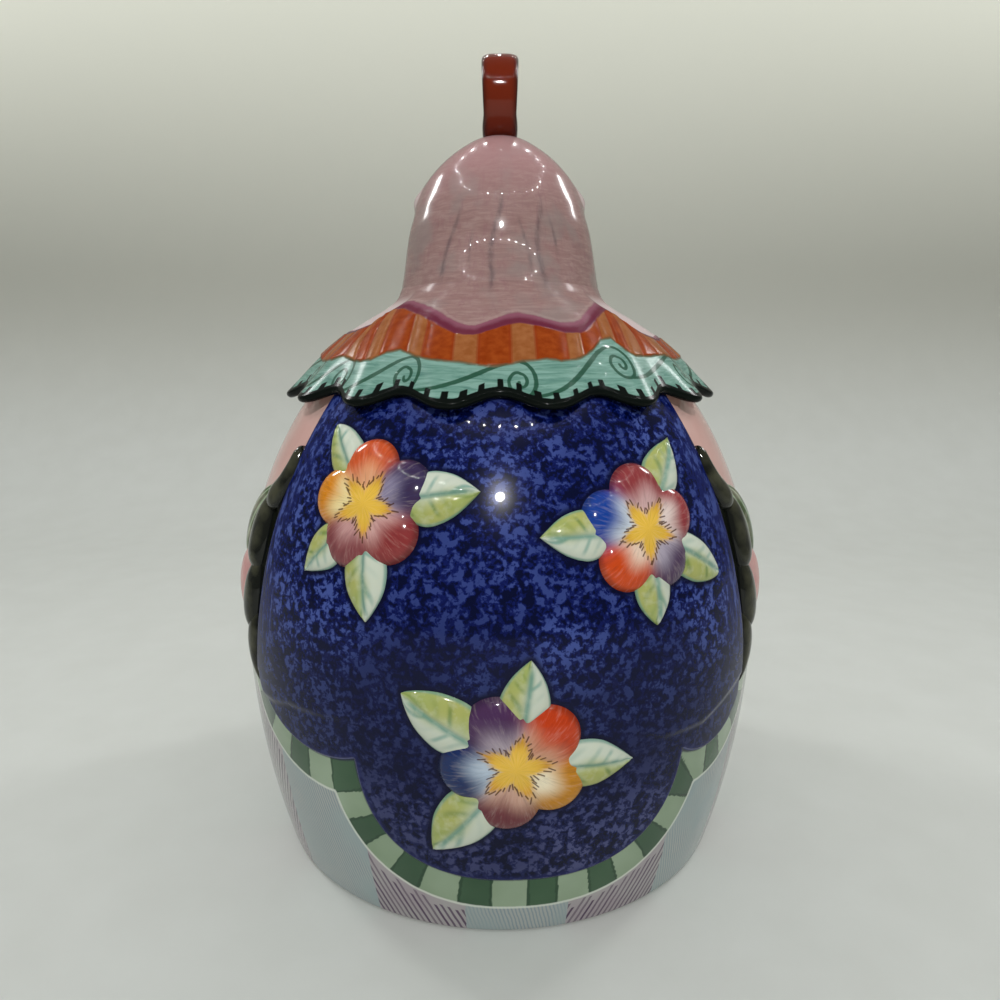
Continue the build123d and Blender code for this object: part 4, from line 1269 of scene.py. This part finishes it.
class JAR_OT_skirt(Operator):
    """Makes the fluted skirt: brushed border, domed blocks, teal band with its scroll, and ticked black hem"""
    bl_idname = "jar.skirt"
    bl_label = "Skirt"

    def execute(self, context):
        lid = in_mm(context.scene.lid_sizes)
        columns, rows = 1440, 150
        turn = np.arange(columns) * 2 * math.pi / columns - math.pi
        wave = (0.5 + 0.5 * np.cos(context.scene.lid_sizes.flutes * turn)) ** 1.2 * lid.scallop
        table = along(SKIRT, LINE_POINTS)
        grid = np.linspace(0, 1, LINE_POINTS)
        start = np.interp(SKIRT[0][1] + 2.3 + wave, table[:, 1], grid)
        way = start + (1 - start) * np.append(np.linspace(0, 0.9995, rows - 1), 1.0)[:, None]
        grid_turn = np.broadcast_to(turn, way.shape)
        angle, reach, height = skirt_surface(grid_turn, way)
        degrees = np.degrees(angle)
        half = (degrees + 90) % 180 - 90
        # where the painted lines run, as distances along the slope
        slope = np.hypot(np.gradient(reach, axis=0), np.gradient(height, axis=0))
        travelled = np.cumsum(slope, 0) - slope[:1]
        steep = np.clip(slope / np.maximum(np.abs(np.gradient(reach, axis=0)), 1e-3), 1, 1.6)
        broad = 3.0 - 1.7 * smooth(np.abs(half), 45, 49)
        border = (painted_edge(BORDER, degrees) - reach) * steep / broad
        foot = (painted_edge(ORANGE_FOOT, degrees) - reach) * steep
        upright = 0.8 * (1 - smooth(np.abs(half), 44, 52))
        level = np.clip(half * (reach / 66) ** upright, -90, 90)
        block = np.interp(level, BLOCK_EDGES, np.arange(len(BLOCK_EDGES))) + 2.0
        # the blocks stand a little above the teal band, each domed
        part = (block % 1.0) * 2 - 1
        banded = smooth(foot, -0.5, 0.7) * (1 - smooth(border, -1.2, -0.6))
        bulge = banded * (0.22 + 0.38 * (1 - np.abs(part) ** 3)) + 0.35 * np.exp(-(border**2))
        out = np.gradient(height, axis=0), -np.gradient(reach, axis=0)
        size = np.hypot(*out)
        places = []
        for lift in (bulge, np.full(bulge.shape, -lid.skirt_wall)):
            r, z = reach + lift * out[0] / size, height + lift * out[1] / size
            places.append(np.stack([r * np.sin(angle), -r * np.cos(angle), z], -1))
        outer, inner = places[0], places[1][::-4]
        # the hem is a full round between the two faces
        middle, spread = (inner[-1] + outer[0]) / 2, (outer[0] - inner[-1]) / 2
        down = outer[0] - outer[2]
        down /= np.sqrt((down**2).sum(-1))[:, None]
        size = np.sqrt((spread**2).sum(-1))[:, None]
        swing = np.linspace(-math.pi / 2, math.pi / 2, 12)[1:-1, None, None]
        lip = middle + spread * np.sin(swing) + down * size * np.cos(swing)
        places = np.concatenate([outer, inner, lip])
        # the scroll
        sheet = np.stack([angle * BAND_REACH, np.interp(way, grid, travel(table[:, :2]))], -1)
        drawn = scroll_line()
        scroll = np.full(reach.shape, 20.0)
        for low in range(0, columns, 60):
            piece = sheet[:, low : low + 60].reshape(-1, 2)
            close = drawn[(drawn[:, 0] > piece[:, 0].min() - 5) & (drawn[:, 0] < piece[:, 0].max() + 5)]
            if len(close):
                gap, which = nearest(piece, close[:, :2])
                scroll[:, low : low + 60] = (gap - close[which, 2]).reshape(rows, -1)
        # ticks along the hem, and the hem itself: its black reaches 1.3 mm up the outer face, the real black edge
        # widened as painted shadow under the hem
        chance = np.random.default_rng(3)
        tick = travelled - 1.3
        for k in range(HEM_TICKS):
            middle_at = -180 + (k + chance.uniform(-0.16, 0.16)) * 360 / HEM_TICKS
            wide, tall = chance.uniform(0.8, 1.15), chance.uniform(3.3, 4.6)
            off = np.abs((degrees - middle_at + 180) % 360 - 180) * math.pi / 180 * HEM_REACH - wide
            tick = np.minimum(tick, np.maximum(off, travelled - tall))
        fields = {
            "border": border, "orange_foot": foot, "block": block, "scroll": scroll, "tick": tick,
            "unpainted": 0 * reach}
        fields.update(hood_paint(outer, degrees, reach))
        rest = {"border": -30.0, "orange_foot": -30.0, "block": 0.5, "scroll": 20.0, "tick": 20.0}
        under = len(inner) - 1
        for label, values in fields.items():
            more = np.full((len(places) - rows, *values.shape[1:]), rest.get(label, 0.0))
            fields[label] = np.concatenate([values, more])
        fields["tick"][rows + under :] = -1
        fields["unpainted"][rows : rows + under] = 1
        finish = painted_skirt(context.scene.glaze_colours)
        mesh = closed("skirt_shell", places, fields, rows_joined=True)
        place_piece("skirt_shell", [mesh], finish, "lid", ["skirt"])
        return {"FINISHED"}


class JAR_OT_seat(Operator):
    """Glazes the ring under the lid that rests on the jar's rim"""
    bl_idname = "jar.seat"
    bl_label = "Seat ring"

    def execute(self, context):
        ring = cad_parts["seat_ring"]
        ring.data.materials.clear()
        ring.data.materials.append(plain_glaze())
        return {"FINISHED"}


class JAR_OT_loop(Operator):
    """Makes the strap loop on the hood"""
    bl_idname = "jar.loop"
    bl_label = "Loop"

    def execute(self, context):
        lid = in_mm(context.scene.lid_sizes)
        outer, inner, power = 15.5, 9.0, 0.55      # the last one is how square the strap's section is (1 is round)
        middle = LOOP_HIGH.z / MM - outer
        turn = np.linspace(0, 2 * math.pi, 160, endpoint=False)[:, None]
        around = np.linspace(0, 2 * math.pi, 48, endpoint=False)[None, :]
        thick = (outer - inner) / 2
        wide = lid.strap_width / 2 * (0.925 + 0.075 * np.sin(turn))      # widest at its top
        c, q = np.cos(around), np.sin(around)
        across = np.sign(c) * np.abs(c) ** power * wide
        out = np.sign(q) * np.abs(q) ** power * thick
        flare = smooth(-np.sin(turn), 0.55, 0.95)
        across = across * (1 + 0.12 * flare)
        reach = (outer + inner) / 2 + out
        y, z = reach * np.cos(turn), middle + reach * np.sin(turn)
        places = np.stack([across + 0 * y, y, z], -1)
        # the strap's rounded edges, where painted shade darkens it
        edge = np.broadcast_to(np.abs(across / wide) ** 4, y.shape)
        mesh = closed("strap_loop", places, {"edge": edge}, rows_joined=True)
        place_piece("strap_loop", [mesh], dipped_orange(context.scene.glaze_colours), "lid", ["loop"])
        return {"FINISHED"}


class JAR_OT_stage(Operator):
    """Makes the floor, the backdrop, the lamps and the camera"""
    bl_idname = "jar.stage"
    bl_label = "Stage"

    def execute(self, context):
        scene = context.scene
        settings = scene.jar_stage
        front, bend, bow, top, side, across = -1.2, 0.42, 0.3, 1.6, 1.4, 20
        profile = [(y, 0.0) for y in np.linspace(front, bend, 12)]
        profile += [(bend + bow * math.sin(t), bow - bow * math.cos(t)) for t in np.linspace(0, math.pi / 2, 24)[1:]]
        profile += [(bend + bow, z) for z in np.linspace(bow, top, 12)[1:]]
        verts = [(x, y, z) for y, z in profile for x in np.linspace(-side, side, across)]
        faces = [(r * across + c, r * across + c + 1, (r + 1) * across + c + 1, (r + 1) * across + c)
                 for r in range(len(profile) - 1) for c in range(across - 1)]
        mesh = bpy.data.meshes.new("sweep")
        mesh.from_pydata(verts, [], faces)
        mesh.polygons.foreach_set("use_smooth", [True] * len(mesh.polygons))
        mesh.materials.append(matt_sweep("Matt paper sweep", "#D2D5D0", "#BFBFB5"))
        sweep = bpy.data.objects.new("sweep", mesh)
        scene.collection.objects.link(sweep)
        # three round lamps aimed at the jar, a small one in front and a wide one on each side, then the ring of
        # small bulbs that shine straight down on it: degrees round, distance out, height, width, power
        lamps = [(turn, 1.234, 1.0, wide, settings.lamp_power * share)
                 for turn, wide, share in ((0, 0.09, 1.0), (125, 0.36, 0.75), (-125, 0.36, 0.75))]
        lamps += [(360 * k / settings.bulbs, 0.3, 0.6, 0.006, settings.bulb_power) for k in range(settings.bulbs)]
        for number, (turn, out, high, wide, power) in enumerate(lamps):
            turn = math.radians(turn)
            light = bpy.data.lights.new(f"lamp_{number}", "AREA")
            light.shape, light.size, light.energy = "DISK", wide, power
            lamp = bpy.data.objects.new(f"lamp_{number}", light)
            aimed = number < 3
            lamp.location = (out * math.sin(turn), -out * math.cos(turn) - (0 if aimed else 0.05), high)
            aim = Vector((0, 0, 0.1)) - lamp.location if aimed else Vector((0, 0, -1))
            lamp.rotation_euler = aim.to_track_quat("-Z", "Y").to_euler()
            scene.collection.objects.link(lamp)
        world = bpy.data.worlds.new("Soft room")
        world.use_nodes = True
        room = world.node_tree.nodes["Background"].inputs
        room["Color"].default_value = (0.9, 0.93, 0.9, 1)
        room["Strength"].default_value = settings.world
        scene.world = world
        view = bpy.data.cameras.new("camera")
        view.lens = settings.focal
        view.sensor_width = 36
        camera = bpy.data.objects.new("camera", view)
        camera.location = (0, -settings.camera_back, settings.camera_height)
        camera.rotation_euler = (math.pi / 2 - settings.pitch, 0, 0)
        view.clip_start = 0.01
        scene.collection.objects.link(camera)
        scene.camera = camera
        scene.view_settings.view_transform = "Standard"
        return {"FINISHED"}


STEPS = (
    JAR_OT_stage, JAR_OT_body, JAR_OT_slabs, JAR_OT_flowers, JAR_OT_leaves, JAR_OT_garlands, JAR_OT_hood,
    JAR_OT_skirt, JAR_OT_seat, JAR_OT_loop,
)


class JAR_PT_panel(Panel):
    """Sizes, colours and steps of the painted biscuit jar"""
    bl_label = "Biscuit Jar"
    bl_idname = "JAR_PT_panel"
    bl_space_type = "VIEW_3D"
    bl_region_type = "UI"
    bl_category = "Biscuit Jar"

    def draw(self, context):
        for group in GROUPS:
            box = self.layout.box()
            own = getattr(context.scene, group)
            for key in own_keys(own):
                box.prop(own, key)
        for step in STEPS:
            self.layout.operator(step.bl_idname)


GROUPS = {"jar_sizes": JarSizes, "lid_sizes": LidSizes, "glaze_colours": GlazeColours, "jar_stage": StageSettings}


def register():
    for group in GROUPS.values():
        bpy.utils.register_class(group)
    for name, group in GROUPS.items():
        setattr(bpy.types.Scene, name, PointerProperty(type=group))
    for step in (*STEPS, JAR_PT_panel):
        bpy.utils.register_class(step)


def unregister():
    for step in (JAR_PT_panel, *reversed(STEPS)):
        bpy.utils.unregister_class(step)
    for name in GROUPS:
        delattr(bpy.types.Scene, name)
    for group in GROUPS.values():
        bpy.utils.unregister_class(group)


def main():
    """Makes everything in order."""
    register()
    for step in STEPS:
        group, name = step.bl_idname.split(".")
        getattr(getattr(bpy.ops, group), name)()


if __name__ == "__main__":
    main()
